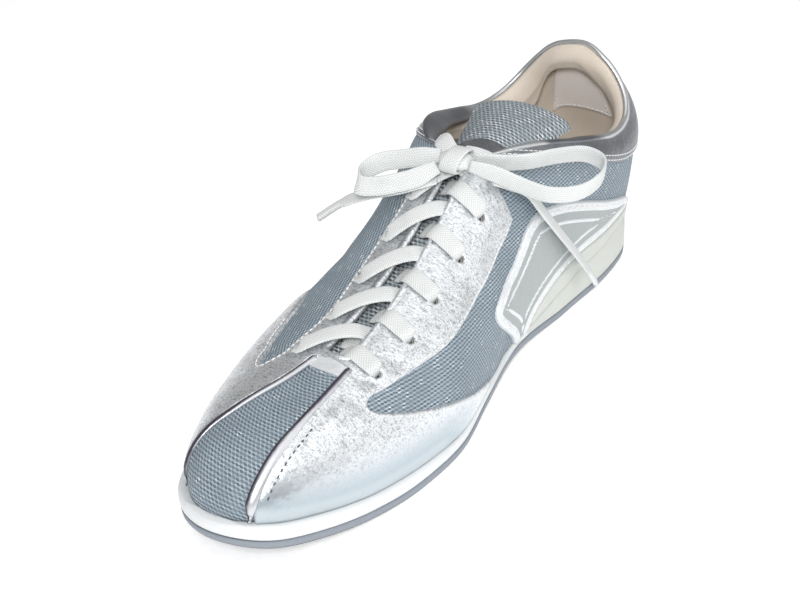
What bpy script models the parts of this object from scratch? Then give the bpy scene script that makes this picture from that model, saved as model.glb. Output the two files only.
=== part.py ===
"""Low lace-up sneaker for the right foot: sole, hollow upper, panels, tongue, insole and laces.

The toe points to -y, the heel stands at +y and the medial side is +x.
Distances are measured from the back of the heel, stations are fractions of a length.
"""

import bmesh
import bpy
import numpy as np
from mathutils import Matrix, Vector

OBJECT_NAME = "sneaker_right"
# Moves the last's own axes so that the origin lies under the middle of the shoe
ORIGIN_OFFSET = (0.0031, -0.0014, 0.0)


def table(names, rows):
    """Turn rows of numbers into named columns."""
    return dict(zip(names, np.array(rows, float).T))


# Sole
LENGTH = 0.272
TOE_SPRING = 0.0125
SPRING_STATION = 0.735
ARCH_LIFT = 0.0025
ARCH_STATION = 0.43
ARCH_REACH = 0.16
OUTSOLE_THICKNESS = 0.0032
SOLE_STEPS = 40
SOLE = table(
    ("station", "medial", "lateral"),
    (
        (0.000, 0.0030, -0.0030),
        (0.050, 0.0295, 0.0215),
        (0.150, 0.0342, 0.0292),
        (0.280, 0.0320, 0.0332),
        (0.420, 0.0307, 0.0372),
        (0.550, 0.0368, 0.0430),
        (0.650, 0.0425, 0.0470),
        (0.740, 0.0412, 0.0474),
        (0.830, 0.0360, 0.0420),
        (0.910, 0.0284, 0.0315),
        (0.965, 0.0205, 0.0208),
        (1.000, 0.0000, 0.0000),
    ),
)
OUTSOLE_LEVELS = table(
    ("inset", "share", "rise"),
    (
        (0.0014, 0.0, 0.0000),
        (0.0002, 0.0, 0.0011),
        (0.0002, 1.0, 0.0000),
    ),
)
MIDSOLE_LEVELS = table(
    ("inset", "share", "rise"),
    (
        (0.0008, 0.0, 0.0000),
        (0.0000, 0.0, 0.0010),
        (0.0000, 1.0, -0.0010),
        (0.0010, 1.0, 0.0000),
    ),
)
INSOLE_INSET = 0.0056
INSOLE_TOE_INSET = 0.0085
INSOLE_THICKNESS = 0.0030
TOE_START = 0.80
LUG_GROOVES = table(
    ("station", "share"),
    (
        (0.060, 0.62),
        (0.105, 0.72),
        (0.150, 0.76),
        (0.195, 0.78),
        (0.590, 0.80),
        (0.630, 0.80),
        (0.670, 0.80),
        (0.710, 0.80),
        (0.750, 0.80),
        (0.790, 0.78),
        (0.830, 0.76),
        (0.870, 0.72),
    ),
)
GROOVE_WIDTH = 0.0026
GROOVE_DEPTH = 0.0013
GROOVE_BELOW = 0.004

# Upper, a closed dome over the sole that is opened at the collar and the throat
FIT_GAP = 0.0003
SEAT_GAP = 0.0005
HEEL_SETBACK = 0.0010
TOE_SETBACK = 0.0035
UPPER_LENGTH = LENGTH - HEEL_SETBACK - TOE_SETBACK
WALL = 0.0032
THIN_WALL_SHARE = 0.62
HEEL_ROUND = 0.10
HEEL_POWER = 2.6
SWELL_CENTRE = 0.036
UPPER = table(
    (
        "station", "feather", "crown", "ridge", "square_medial", "square_lateral", "inset",
        "swell_medial", "swell_lateral",
    ),
    (
        (0.000, 0.0240, 0.1060, 0.0030, 3.2, 3.2, 0.0005, 0.0050, 0.0050),
        (0.140, 0.0205, 0.1070, 0.0030, 3.3, 3.3, 0.0008, 0.0045, 0.0045),
        (0.290, 0.0145, 0.0990, 0.0035, 3.4, 3.2, 0.0010, 0.0035, 0.0040),
        (0.365, 0.0108, 0.0912, 0.0048, 3.2, 3.1, 0.0010, 0.0032, 0.0015),
        (0.400, 0.0095, 0.0865, 0.0055, 3.0, 3.0, 0.0012, 0.0030, 0.0000),
        (0.493, 0.0080, 0.0730, 0.0070, 2.6, 2.6, 0.0015, 0.0030, -0.0020),
        (0.576, 0.0076, 0.0622, 0.0078, 2.4, 2.3, 0.0020, 0.0025, 0.0008),
        (0.655, 0.0078, 0.0540, 0.0078, 2.3, 2.15, 0.0025, 0.0020, 0.0028),
        (0.742, 0.0088, 0.0480, 0.0070, 2.3, 2.2, 0.0028, 0.0012, 0.0008),
        (0.817, 0.0102, 0.0446, 0.0058, 2.4, 2.3, 0.0028, 0.0008, -0.0005),
        (0.881, 0.0130, 0.0418, 0.0036, 2.4, 2.5, 0.0028, 0.0006, -0.0008),
        (0.930, 0.0160, 0.0385, 0.0010, 2.4, 2.6, 0.0028, 0.0004, 0.0000),
        (0.976, 0.0195, 0.0315, -0.0006, 2.4, 2.5, 0.0020, 0.0000, 0.0004),
        (1.000, 0.0215, 0.0215, 0.0000, 2.4, 2.4, 0.0000, 0.0000, 0.0000),
    ),
)
COLLAR = table(
    ("distance", "height"),
    (
        (0.000, 0.0950),
        (0.006, 0.0945),
        (0.009, 0.0905),
        (0.012, 0.0830),
        (0.016, 0.0760),
        (0.021, 0.0712),
        (0.028, 0.0688),
        (0.038, 0.0692),
        (0.050, 0.0725),
        (0.063, 0.0765),
        (0.075, 0.0808),
        (0.088, 0.0845),
        (0.098, 0.0858),
        (0.106, 0.0856),
    ),
)
THROAT = table(
    ("distance", "half_gap"),
    (
        (0.110, 0.0042),
        (0.150, 0.0046),
        (0.185, 0.0054),
        (0.200, 0.0058),
    ),
)
THROAT_BOW = 0.0030
COLLAR_COLUMNS = 15
THROAT_COLUMNS = 12
TOE_COLUMNS = 8
TOE_OVERLAP = 2
COLLAR_FOOT = 0.098
THROAT_FOOT = 0.200
LOWER_ROWS = 6
UPPER_ROWS = 3
BAND_HEEL = 0.0170
BAND_FRONT = 0.0080
EYESTAY_DROP = 0.0240
PATH_STEPS = 400
COLUMN_STEPS = 160

# Colour, roughness and metallic value of what repeats
LEATHER_LOOK = ((0.75, 0.76, 0.77), 0.35, 0.6)
PATCH_LOOK = ((0.66, 0.69, 0.70), 0.5, 0.1)
BAND_LOOK = ((0.50, 0.48, 0.49), 0.4, 0.5)
WEDGE_LOOK = ((0.80, 0.77, 0.68), 0.7, 0.0)
PIPING_LOOK = ((0.42, 0.41, 0.42), 0.35, 0.6)
LACE_LOOK = ((0.85, 0.85, 0.82), 0.8, 0.0)

# Panels on the upper
PANEL_LIFT = 0.0003
PANEL_THICKNESS = 0.0010
PANEL_TOP = PANEL_LIFT + PANEL_THICKNESS
PANEL_EDGE = table(
    ("distance", "medial", "lateral"),
    (
        (0.1100, 0.0110, -0.0002),
        (0.1300, 0.0122, 0.0006),
        (0.1500, 0.0134, 0.0020),
        (0.1850, 0.0140, 0.0008),
        (0.2000, 0.0143, -0.0002),
        (0.2060, 0.0154, -0.0002),
        (0.2190, 0.0151, -0.0040),
        (0.2290, 0.0147, -0.0086),
        (0.2380, 0.0147, -0.0128),
        (0.2470, 0.0143, -0.0172),
        (0.2550, 0.0142, -0.0196),
        (0.2640, 0.0142, -0.0200),
        (0.2800, 0.0150, -0.0200),
    ),
)
PANEL_TOP_END = 0.1125
PANEL_INSIDE = 0.0080
PANEL_OUTSIDE = 0.0640
PANEL_ABOVE = 0.1200
WINDOW_MEDIAL = table(
    ("distance", "height"),
    (
        (0.2132, 0.0388),
        (0.2095, 0.0406),
        (0.2044, 0.0402),
        (0.1873, 0.0412),
        (0.1774, 0.0416),
        (0.1668, 0.0426),
        (0.1474, 0.0472),
        (0.1306, 0.0540),
        (0.1177, 0.0597),
        (0.1070, 0.0674),
        (0.0900, 0.0674),
        (0.0900, 0.0000),
        (0.1480, 0.0000),
        (0.1500, 0.0080),
        (0.1626, 0.0228),
        (0.1771, 0.0285),
        (0.1873, 0.0311),
        (0.1961, 0.0331),
        (0.2052, 0.0338),
        (0.2109, 0.0361),
    ),
)
WINDOW_LATERAL = table(
    ("x", "distance"),
    (
        (-0.0186, 0.2155),
        (-0.0138, 0.2080),
        (-0.0118, 0.1980),
        (-0.0090, 0.1860),
        (-0.0097, 0.1650),
        (-0.0088, 0.1460),
        (-0.0078, 0.1270),
        (-0.0078, 0.0900),
        (-0.0700, 0.0900),
        (-0.0700, 0.1480),
        (-0.0440, 0.1500),
        (-0.0380, 0.1580),
        (-0.0320, 0.1660),
        (-0.0280, 0.1760),
        (-0.0267, 0.1862),
        (-0.0246, 0.1980),
        (-0.0220, 0.2083),
    ),
)
SIDE_PATCH = table(
    ("distance", "height"),
    (
        (0.0200, 0.0276),
        (0.0200, 0.0320),
        (0.0450, 0.0416),
        (0.0625, 0.0498),
        (0.0820, 0.0578),
        (0.0970, 0.0605),
        (0.1045, 0.0580),
        (0.1135, 0.0496),
        (0.1245, 0.0437),
        (0.1355, 0.0395),
        (0.1388, 0.0355),
        (0.1360, 0.0298),
        (0.1280, 0.0225),
        (0.1170, 0.0120),
        (0.1140, 0.0000),
        (0.1078, 0.0000),
        (0.1048, 0.0120),
        (0.0957, 0.0188),
        (0.0838, 0.0240),
        (0.0690, 0.0266),
    ),
)
HEEL_WEDGE = table(
    ("distance", "height"),
    (
        (-0.0100, 0.0262),
        (0.0400, 0.0262),
        (0.0686, 0.0254),
        (0.0830, 0.0228),
        (0.0949, 0.0177),
        (0.1040, 0.0112),
        (0.1068, 0.0000),
        (-0.0100, 0.0000),
    ),
)
WEDGE_COLUMNS = 17
WEDGE_ROWS = 3
WEDGE_THICKNESS = 0.0016
PATCH_COLUMNS = 23
PIPING_WIDTH = 0.0024
PIPING_THICKNESS = 0.0009
PIPING_LIFT = 0.0005
PIPING_INSET_MEDIAL = 0.0017
PIPING_INSET_LATERAL = 0.0026
PIPING_START = 0.2050
PIPING_END = 0.2600

# Eyelets and laces
EYELETS = table(
    ("distance", "medial", "lateral"),
    (
        (0.2010, 0.0158, -0.0135),
        (0.1820, 0.0168, -0.0122),
        (0.1634, 0.0155, -0.0122),
        (0.1440, 0.0150, -0.0122),
        (0.1260, 0.0146, -0.0112),
        (0.1090, 0.0150, -0.0105),
    ),
)
EYELET_RADIUS = 0.0018
EYELET_SIDES = 8
EYELET_DEPTH = 0.012
LACE_WIDTH = 0.0076
LACE_THICKNESS = 0.0014
LACE_LIFT = PANEL_TOP + 0.0005 + LACE_THICKNESS / 2
LACE_CLEAR = 0.0028
LACE_CROSSING = table(
    ("share", "climb", "dip"),
    (
        (-1.00, 0.0000, 0.0000),
        (-0.30, 0.0060, 0.0000),
        (0.10, 0.0095, 0.0003),
        (0.32, 0.0102, -0.0004),
        (0.60, 0.0068, 0.0000),
        (1.00, 0.0000, 0.0000),
    ),
)
LACE_STEPS = 12
BAR_DISTANCE = 0.1925
BAR_HALF = 0.0040
BAR_DROP = 0.0028
KNOT_CENTRE = (0.0096, 0.1214, 0.0892)
KNOT_SIZE = (0.0125, 0.0125, 0.0085)
LOOP_STEPS = 24
MEDIAL_LOOP = table(
    ("x", "distance", "z"),
    (
        (0.0160, 0.1186, 0.0896),
        (0.0243, 0.1148, 0.0884),
        (0.0325, 0.1071, 0.0872),
        (0.0389, 0.0956, 0.0858),
        (0.0453, 0.0869, 0.0842),
        (0.0518, 0.0856, 0.0825),
        (0.0555, 0.0889, 0.0810),
        (0.0568, 0.0970, 0.0795),
        (0.0530, 0.1062, 0.0782),
        (0.0443, 0.1130, 0.0787),
        (0.0340, 0.1160, 0.0817),
        (0.0255, 0.1195, 0.0858),
        (0.0163, 0.1228, 0.0888),
    ),
)
LATERAL_LOOP = table(
    ("x", "distance", "z"),
    (
        (0.0030, 0.1216, 0.0898),
        (-0.0040, 0.1242, 0.0888),
        (-0.0110, 0.1262, 0.0872),
        (-0.0178, 0.1290, 0.0860),
        (-0.0218, 0.1332, 0.0845),
        (-0.0232, 0.1390, 0.0828),
        (-0.0205, 0.1432, 0.0815),
        (-0.0145, 0.1402, 0.0812),
        (-0.0085, 0.1360, 0.0820),
        (-0.0022, 0.1320, 0.0838),
        (0.0040, 0.1262, 0.0872),
    ),
)
MEDIAL_END = table(
    ("x", "distance", "z"),
    (
        (0.0222, 0.1165, 0.0822),
        (0.0264, 0.1122, 0.0792),
        (0.0312, 0.1062, 0.0742),
        (0.0342, 0.0988, 0.0622),
        (0.0362, 0.0900, 0.0495),
        (0.0380, 0.0780, 0.0335),
        (0.0388, 0.0690, 0.0210),
        (0.0392, 0.0620, 0.0110),
    ),
)
LATERAL_END = table(
    ("x", "distance", "z"),
    (
        (0.0036, 0.1264, 0.0822),
        (-0.0080, 0.1325, 0.0784),
        (-0.0205, 0.1370, 0.0750),
        (-0.0310, 0.1410, 0.0705),
        (-0.0399, 0.1463, 0.0640),
    ),
)
MEDIAL_FACE = (0.2, 0.1, 0.97)
LATERAL_FACE = (0.0, -0.5, 0.85)
MEDIAL_END_FACE = (0.80, 0.15, 0.58)
LATERAL_END_FACE = (-0.3, 0.3, 0.9)

# Tongue
TONGUE_THICKNESS = 0.0030
TONGUE_CLEARANCE = 0.0043
TONGUE_FREE = 0.100
TONGUE_HELD = 0.120
TONGUE_ACROSS = 10
TONGUE = table(
    ("distance", "top", "half", "droop"),
    (
        (0.055, 0.0838, 0.0180, 0.0050),
        (0.057, 0.0850, 0.0222, 0.0056),
        (0.062, 0.0855, 0.0228, 0.0058),
        (0.070, 0.0848, 0.0205, 0.0068),
        (0.080, 0.0831, 0.0196, 0.0085),
        (0.090, 0.0813, 0.0185, 0.0090),
        (0.100, 0.0804, 0.0178, 0.0090),
        (0.120, 0.0750, 0.0175, 0.0090),
        (0.140, 0.0650, 0.0185, 0.0090),
        (0.160, 0.0560, 0.0190, 0.0080),
        (0.180, 0.0480, 0.0190, 0.0070),
        (0.200, 0.0430, 0.0180, 0.0060),
        (0.212, 0.0400, 0.0170, 0.0050),
    ),
)


def start_scene():
    """Empty the scene and make the collections for parts and cutters."""
    for item in list(bpy.data.objects):
        bpy.data.objects.remove(item)
    parts = bpy.data.collections.new(OBJECT_NAME)
    cutters = bpy.data.collections.new("cutters")
    for collection in (parts, cutters):
        bpy.context.scene.collection.children.link(collection)
    origin = bpy.data.objects.new("origin", None)
    origin.location = ORIGIN_OFFSET
    parts.objects.link(origin)
    return parts, cutters, origin


PARTS, CUTTERS, ORIGIN = start_scene()


def smooth(at, where, value):
    """Smooth curve through table points."""
    at = np.asarray(at, float)
    step = np.diff(where)
    rise = np.diff(value) / step
    slope = np.empty_like(value)
    slope[1:-1] = (rise[:-1] * step[1:] + rise[1:] * step[:-1]) / (step[:-1] + step[1:])
    slope[0] = rise[0]
    slope[-1] = rise[-1]
    piece = np.clip(np.searchsorted(where, at) - 1, 0, len(where) - 2)
    u = np.clip((at - where[piece]) / step[piece], 0, 1)
    return (
        (1 + 2 * u) * (1 - u) ** 2 * value[piece]
        + u * (1 - u) ** 2 * step[piece] * slope[piece]
        + u * u * (3 - 2 * u) * value[piece + 1]
        + u * u * (u - 1) * step[piece] * slope[piece + 1]
    )


def turn(station):
    """Angle that spreads stations so that both ends of the shoe come out round."""
    return np.arccos(np.clip(1 - 2 * np.asarray(station, float), -1, 1))


def spread(count):
    """Stations that crowd towards both ends."""
    return (1 - np.cos(np.linspace(0, np.pi, count))) / 2


def sole_half(station, side):
    """Half-width of the sole on one side, +1 medial and -1 lateral."""
    name = "medial" if side > 0 else "lateral"
    return smooth(turn(station), turn(SOLE["station"]), SOLE[name])


def sole_floor(station):
    """Height of the tread, flat at the heel and the ball."""
    toe = np.clip((np.asarray(station) - SPRING_STATION) / (1 - SPRING_STATION), 0, 1)
    arch = np.clip(1 - ((np.asarray(station) - ARCH_STATION) / ARCH_REACH) ** 2, 0, 1)
    return TOE_SPRING * toe**2 + ARCH_LIFT * arch**2


def place(distance):
    """Turn a distance from the heel into y."""
    return LENGTH / 2 - np.asarray(distance, float)


def upper_station(y):
    """Station along the upper for a y."""
    return np.clip((LENGTH / 2 - y - HEEL_SETBACK) / UPPER_LENGTH, 0, 1)


def upper_value(name, station):
    """One column of the upper's table at a station."""
    return smooth(turn(station), turn(UPPER["station"]), UPPER[name])


def upper_half(station, side):
    """Half-width of the upper where it meets the sole."""
    ends = np.clip(3 * np.sin(turn(station)), 0, 1)
    return sole_half(station, side) - upper_value("inset", station) * ends


def upper_height(station):
    """Height of the dome over the sole, rounded at the heel."""
    back = np.clip(1 - np.asarray(station) / HEEL_ROUND, 0, 1)
    heel = (1 - back**HEEL_POWER) ** (1 / HEEL_POWER)
    return np.maximum(upper_value("crown", station) - upper_value("feather", station), 0) * heel


def ridge_at(y):
    """x of the top line at a y."""
    return upper_value("ridge", upper_station(y))


def dome(x, y):
    """Points of the upper's outside above plan points."""
    x = np.asarray(x, float)
    y = np.asarray(y, float)
    station = upper_station(y)
    ridge = upper_value("ridge", station)
    medial = x >= ridge
    width = np.where(medial, upper_half(station, 1) - ridge, upper_half(station, -1) + ridge)
    reach = np.clip(np.abs(x - ridge) / np.maximum(width, 1e-6), 0, 1)
    square = np.where(
        medial, upper_value("square_medial", station), upper_value("square_lateral", station)
    )
    rise = (1 - reach**square) ** (1 / square)
    z = upper_value("feather", station) + upper_height(station) * rise
    swell = np.where(
        medial, upper_value("swell_medial", station), upper_value("swell_lateral", station)
    )
    amount = swell * np.sin(np.pi * rise)
    out_x = x - ridge
    out_y = np.maximum(y - place(SWELL_CENTRE), 0)
    away = np.maximum(np.hypot(out_x, out_y), 1e-6)
    return np.stack([x + amount * out_x / away, y + amount * out_y / away, z], -1)


def over(distance, offset, lift=0.0):
    """Point over the upper, offset from the top line and lifted along the outward normal."""
    y = place(distance)
    x = ridge_at(y) + offset
    step = 1e-4
    along = dome(x, y + step) - dome(x, y - step)
    across = dome(x + step, y) - dome(x - step, y)
    normal = np.cross(across, along)
    normal = normal / np.linalg.norm(normal, axis=-1, keepdims=True)
    return dome(x, y) + lift * normal, normal


def resample(path, count):
    """Evenly spaced points along a path."""
    run = np.concatenate([[0], np.cumsum(np.linalg.norm(np.diff(path, axis=0), axis=1))])
    at = np.linspace(0, run[-1], count + 1)
    return np.column_stack([np.interp(at, run, path[:, axis]) for axis in range(path.shape[1])])


def feather_points(side):
    """Plan points of the upper's lower edge, heel to toe, spread over the three zones."""
    station = spread(PATH_STEPS)
    distance = HEEL_SETBACK + UPPER_LENGTH * station
    path = np.column_stack([side * upper_half(station, side), place(distance)])
    first = np.searchsorted(distance, COLLAR_FOOT)
    second = np.searchsorted(distance, THROAT_FOOT)
    return np.concatenate(
        [
            resample(path[: first + 1], COLLAR_COLUMNS)[:-1],
            resample(path[first : second + 1], THROAT_COLUMNS)[:-1],
            resample(path[second:], TOE_COLUMNS),
        ]
    )


def topline_points(side):
    """Plan points of the collar, throat edge and throat base on one side."""
    distance = np.linspace(HEEL_SETBACK, COLLAR["distance"][-1], PATH_STEPS)
    station = upper_station(place(distance))
    height = smooth(distance, COLLAR["distance"], COLLAR["height"])
    rise = (height - upper_value("feather", station)) / np.maximum(upper_height(station), 1e-6)
    name = "square_medial" if side > 0 else "square_lateral"
    square = upper_value(name, station)
    reach = (1 - np.clip(rise, 0, 1) ** square) ** (1 / square)
    ridge = upper_value("ridge", station)
    x = ridge + (side * upper_half(station, side) - ridge) * reach
    back = np.argmax(rise < 1) - 1
    collar = np.column_stack([x, place(distance)])[back:]
    distance = np.linspace(THROAT["distance"][0], THROAT["distance"][-1], PATH_STEPS)
    gap = smooth(distance, THROAT["distance"], THROAT["half_gap"])
    y = place(distance)
    throat = np.column_stack([ridge_at(y) + side * gap, y])
    angle = np.linspace(0, np.pi / 2, PATH_STEPS)
    y = place(THROAT["distance"][-1] + THROAT_BOW * np.sin(angle))
    base = np.column_stack([ridge_at(y) + side * gap[-1] * np.cos(angle), y])
    return np.concatenate(
        [
            resample(collar, COLLAR_COLUMNS)[:-1],
            resample(np.concatenate([collar[-1:], throat]), THROAT_COLUMNS)[:-1],
            resample(base, TOE_COLUMNS),
        ]
    )


def column_points(foot, top, drop):
    """Points up one column of the upper, with a row kept at the panel line."""
    share = np.linspace(0, 1, COLUMN_STEPS) ** 3
    plan = foot + share[:, None] * (top - foot)
    path = dome(plan[:, 0], plan[:, 1])
    path[0] = (*foot, upper_value("feather", upper_station(foot[1])))
    run = np.concatenate([[0], np.cumsum(np.linalg.norm(np.diff(path, axis=0), axis=1))])
    line = run[-1] - drop
    at = np.concatenate(
        [
            np.linspace(0, line, LOWER_ROWS + 1)[:-1],
            np.linspace(line, run[-1], UPPER_ROWS + 1),
        ]
    )
    return np.column_stack([np.interp(at, run, path[:, axis]) for axis in range(3)])


def upper_grid():
    """Ring of columns round the upper: medial side heel to toe, lateral side back to the heel."""
    drops = np.concatenate(
        [
            np.linspace(BAND_HEEL, BAND_FRONT, COLLAR_COLUMNS + 1)[:-1],
            np.linspace(BAND_FRONT, EYESTAY_DROP, THROAT_COLUMNS + 1)[:-1],
            np.full(TOE_COLUMNS + 1, EYESTAY_DROP),
        ]
    )
    sides = []
    for side in (1, -1):
        rows = zip(feather_points(side), topline_points(side), drops)
        sides.append([column_points(foot, top, drop) for foot, top, drop in rows])
    medial, lateral = sides
    return np.array(medial + lateral[-2:0:-1])


def grid_normals(grid):
    """Outward normals of the ring of columns."""
    along = np.roll(grid, -1, axis=0) - np.roll(grid, 1, axis=0)
    upward = np.gradient(grid, axis=1)
    normal = np.cross(upward, along)
    return normal / np.linalg.norm(normal, axis=-1, keepdims=True)


def add_object(name, verts, faces, collection):
    """Make a mesh object."""
    mesh = bpy.data.meshes.new(name)
    mesh.from_pydata([tuple(map(float, v)) for v in verts], [], [tuple(map(int, f)) for f in faces])
    mesh.update()
    item = bpy.data.objects.new(name, mesh)
    item.parent = ORIGIN
    collection.objects.link(item)
    if collection is CUTTERS:
        item.hide_render = True
        item.display_type = "WIRE"
    return item


def finish(item, colour, roughness, metallic=0.0):
    """Give a part its own material."""
    material = bpy.data.materials.new(item.name)
    material.use_nodes = True
    shader = material.node_tree.nodes["Principled BSDF"]
    shader.inputs["Base Color"].default_value = (*colour, 1.0)
    shader.inputs["Roughness"].default_value = roughness
    shader.inputs["Metallic"].default_value = metallic
    item.data.materials.append(material)
    return item


def sheet(name, grid, closed):
    """Object from a grid of points, closed or open across its columns."""
    columns, rows = grid.shape[:2]
    spans = columns if closed else columns - 1
    faces = []
    for c in range(spans):
        n = (c + 1) % columns
        for r in range(rows - 1):
            faces.append((c * rows + r, c * rows + r + 1, n * rows + r + 1))
            faces.append((c * rows + r, n * rows + r + 1, n * rows + r))
    return add_object(name, grid.reshape(-1, 3), faces, PARTS)


def thicken(item, thickness, offset):
    """Turn a sheet into a wall; offset -1 grows inwards and 1 outwards."""
    shell = item.modifiers.new("wall", "SOLIDIFY")
    shell.thickness = thickness
    shell.offset = offset
    shell.use_even_offset = True
    return shell


def boolean(item, cutter, operation):
    """Cut a part with a cutter."""
    cut = item.modifiers.new(operation.lower(), "BOOLEAN")
    cut.operation = operation
    cut.solver = "EXACT"
    cut.object = cutter


def prism(name, outline, axis, low, high):
    """Cutter with a flat outline, stretched along an axis."""
    count = len(outline)
    verts = []
    for level in (low, high):
        for a, b in outline:
            verts.append((a, b, level) if axis == "z" else (level, a, b))
    faces = [tuple(range(count)), tuple(range(2 * count - 1, count - 1, -1))]
    for i in range(count):
        n = (i + 1) % count
        faces.append((i, i + count, n + count, n))
    return tidy_normals(add_object(name, verts, faces, CUTTERS))


def outline_ring(inset, toe_inset):
    """Plan points and stations round the sole, moved inwards by an inset."""
    station = spread(SOLE_STEPS)
    y = place(LENGTH * station)
    medial = np.column_stack([sole_half(station, 1), y])
    lateral = np.column_stack([-sole_half(station, -1), y])
    ring = np.concatenate([medial, lateral[-2:0:-1]])
    stations = np.concatenate([station, station[-2:0:-1]])
    along = np.roll(ring, -1, axis=0) - np.roll(ring, 1, axis=0)
    along = along / np.linalg.norm(along, axis=1, keepdims=True)
    inward = np.column_stack([along[:, 1], -along[:, 0]])
    toe = np.clip((stations - TOE_START) / (1 - TOE_START), 0, 1)
    return ring + inward * (inset + (toe_inset - inset) * toe)[:, None], stations


def tidy_normals(item):
    """Turn every face of a part outwards."""
    body = bmesh.new()
    body.from_mesh(item.data)
    bmesh.ops.recalc_face_normals(body, faces=body.faces)
    body.to_mesh(item.data)
    body.free()
    return item


def ring_solid(name, insets, heights, toe_insets=None):
    """Solid of outline rings from the bottom to the top, capped by strips across the shoe."""
    verts = []
    rings = []
    for inset, toe_inset, height in zip(insets, toe_insets or insets, heights):
        ring, stations = outline_ring(inset, toe_inset)
        rings.append(range(len(verts), len(verts) + len(ring)))
        verts.extend(np.column_stack([ring, height(stations)]))
    count = len(rings[0])
    faces = []
    for lower, higher in zip(rings, rings[1:]):
        for i in range(count):
            n = (i + 1) % count
            faces.append((lower[i], higher[i], higher[n], lower[n]))
    for ring in (rings[0], rings[-1]):
        for i in range(SOLE_STEPS - 1):
            face = (ring[i], ring[i + 1], ring[-(i + 1) % count], ring[-i % count])
            faces.append(tuple(dict.fromkeys(face)))
    return tidy_normals(add_object(name, verts, faces, PARTS))


def bed(station):
    """Top of the midsole under the upper's lower edge."""
    y = place(LENGTH * np.asarray(station))
    return upper_value("feather", upper_station(y)) - SEAT_GAP


def layer(levels, low, high):
    """Height functions of a sole layer's rings between two surfaces."""
    heights = []
    for share, rise in zip(levels["share"], levels["rise"]):
        base = high if share > 0.5 else low
        heights.append(lambda station, base=base, rise=rise: base(station) + rise)
    return heights


def tread_top(station):
    """Top of the outsole."""
    return sole_floor(station) + OUTSOLE_THICKNESS


def midsole_bottom(station):
    """Bottom of the midsole."""
    return tread_top(station) + FIT_GAP


def build_sole():
    """Outsole with grooves, midsole and insole."""
    outsole = ring_solid(
        "outsole", OUTSOLE_LEVELS["inset"], layer(OUTSOLE_LEVELS, sole_floor, tread_top)
    )
    finish(outsole, (0.22, 0.24, 0.25), 0.7)
    for index, (station, share) in enumerate(zip(LUG_GROOVES["station"], LUG_GROOVES["share"])):
        y = float(place(LENGTH * station))
        medial = float(sole_half(station, 1)) * share
        lateral = float(sole_half(station, -1)) * share
        outline = [
            (-lateral, y - GROOVE_WIDTH / 2),
            (medial, y - GROOVE_WIDTH / 2),
            (medial, y + GROOVE_WIDTH / 2),
            (-lateral, y + GROOVE_WIDTH / 2),
        ]
        base = float(sole_floor(station))
        groove = prism(f"groove_{index + 1}", outline, "z", base - GROOVE_BELOW, base + GROOVE_DEPTH)
        boolean(outsole, groove, "DIFFERENCE")
    midsole = ring_solid(
        "midsole", MIDSOLE_LEVELS["inset"], layer(MIDSOLE_LEVELS, midsole_bottom, bed)
    )
    finish(midsole, (0.86, 0.86, 0.82), 0.5)
    insole = ring_solid(
        "insole",
        (INSOLE_INSET, INSOLE_INSET),
        (
            lambda station: bed(station) + FIT_GAP,
            lambda station: bed(station) + FIT_GAP + INSOLE_THICKNESS,
        ),
        (INSOLE_TOE_INSET, INSOLE_TOE_INSET),
    )
    finish(insole, (0.62, 0.50, 0.40), 0.8)


def eyelet_cutter():
    """Twelve punches, one through each eyelet."""
    body = bmesh.new()
    for distance, medial, lateral in zip(*EYELETS.values()):
        for offset in (medial, lateral):
            point, normal = over(distance, offset)
            turned = Vector(normal).to_track_quat("Z", "Y").to_matrix().to_4x4()
            bmesh.ops.create_cone(
                body,
                cap_ends=True,
                segments=EYELET_SIDES,
                radius1=EYELET_RADIUS,
                radius2=EYELET_RADIUS,
                depth=EYELET_DEPTH,
                matrix=Matrix.Translation(Vector(point)) @ turned,
            )
    item = add_object("eyelet_punches", [], [], CUTTERS)
    body.to_mesh(item.data)
    body.free()
    return item


def build_upper(grid, punches):
    """Hollow upper, thicker at the padded collar."""
    upper = sheet("upper", grid, closed=True)
    finish(upper, (0.45, 0.52, 0.58), 0.75)
    rows = grid.shape[1]
    group = upper.vertex_groups.new(name="padding")
    columns = list(range(COLLAR_COLUMNS)) + list(range(len(grid) - COLLAR_COLUMNS + 1, len(grid)))
    padded = [c * rows + r for c in columns for r in range(LOWER_ROWS, rows)]
    group.add(padded, 1.0, "REPLACE")
    wall = thicken(upper, WALL, -1.0)
    wall.vertex_group = group.name
    wall.thickness_vertex_group = THIN_WALL_SHARE
    boolean(upper, punches, "DIFFERENCE")


def panel(name, grid, columns, rows, look, thickness=PANEL_THICKNESS):
    """Overlay cut from the upper's own grid."""
    item = sheet(name, grid[columns][:, rows], closed=False)
    thicken(item, thickness, 1.0)
    return finish(item, *look)


def side_outline(columns):
    """Side view outline from a table of distances and heights."""
    return list(zip(place(columns["distance"]), columns["height"]))


def panel_edge(side, distance):
    """x of the toe wing's and eyestay's inner edge on one side."""
    name = "medial" if side > 0 else "lateral"
    return np.interp(distance, PANEL_EDGE["distance"], PANEL_EDGE[name])


def vamp_outline(side):
    """Plan outline of the toe wing and eyestay on one side."""
    distance = np.clip(PANEL_EDGE["distance"], PANEL_TOP_END, None)
    outline = list(zip(panel_edge(side, distance), place(distance)))
    outer = side * PANEL_OUTSIDE
    return outline + [(outer, place(distance[-1])), (outer, place(distance[0]))]


def window_cutter(side):
    """Cutter behind and below the eyestay that leaves the mesh window open."""
    if side > 0:
        return prism("window_medial", side_outline(WINDOW_MEDIAL), "x", PANEL_INSIDE, PANEL_OUTSIDE)
    outline = list(zip(WINDOW_LATERAL["x"], place(WINDOW_LATERAL["distance"])))
    return prism("window_lateral", outline, "z", 0.0, PANEL_ABOVE)


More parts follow.
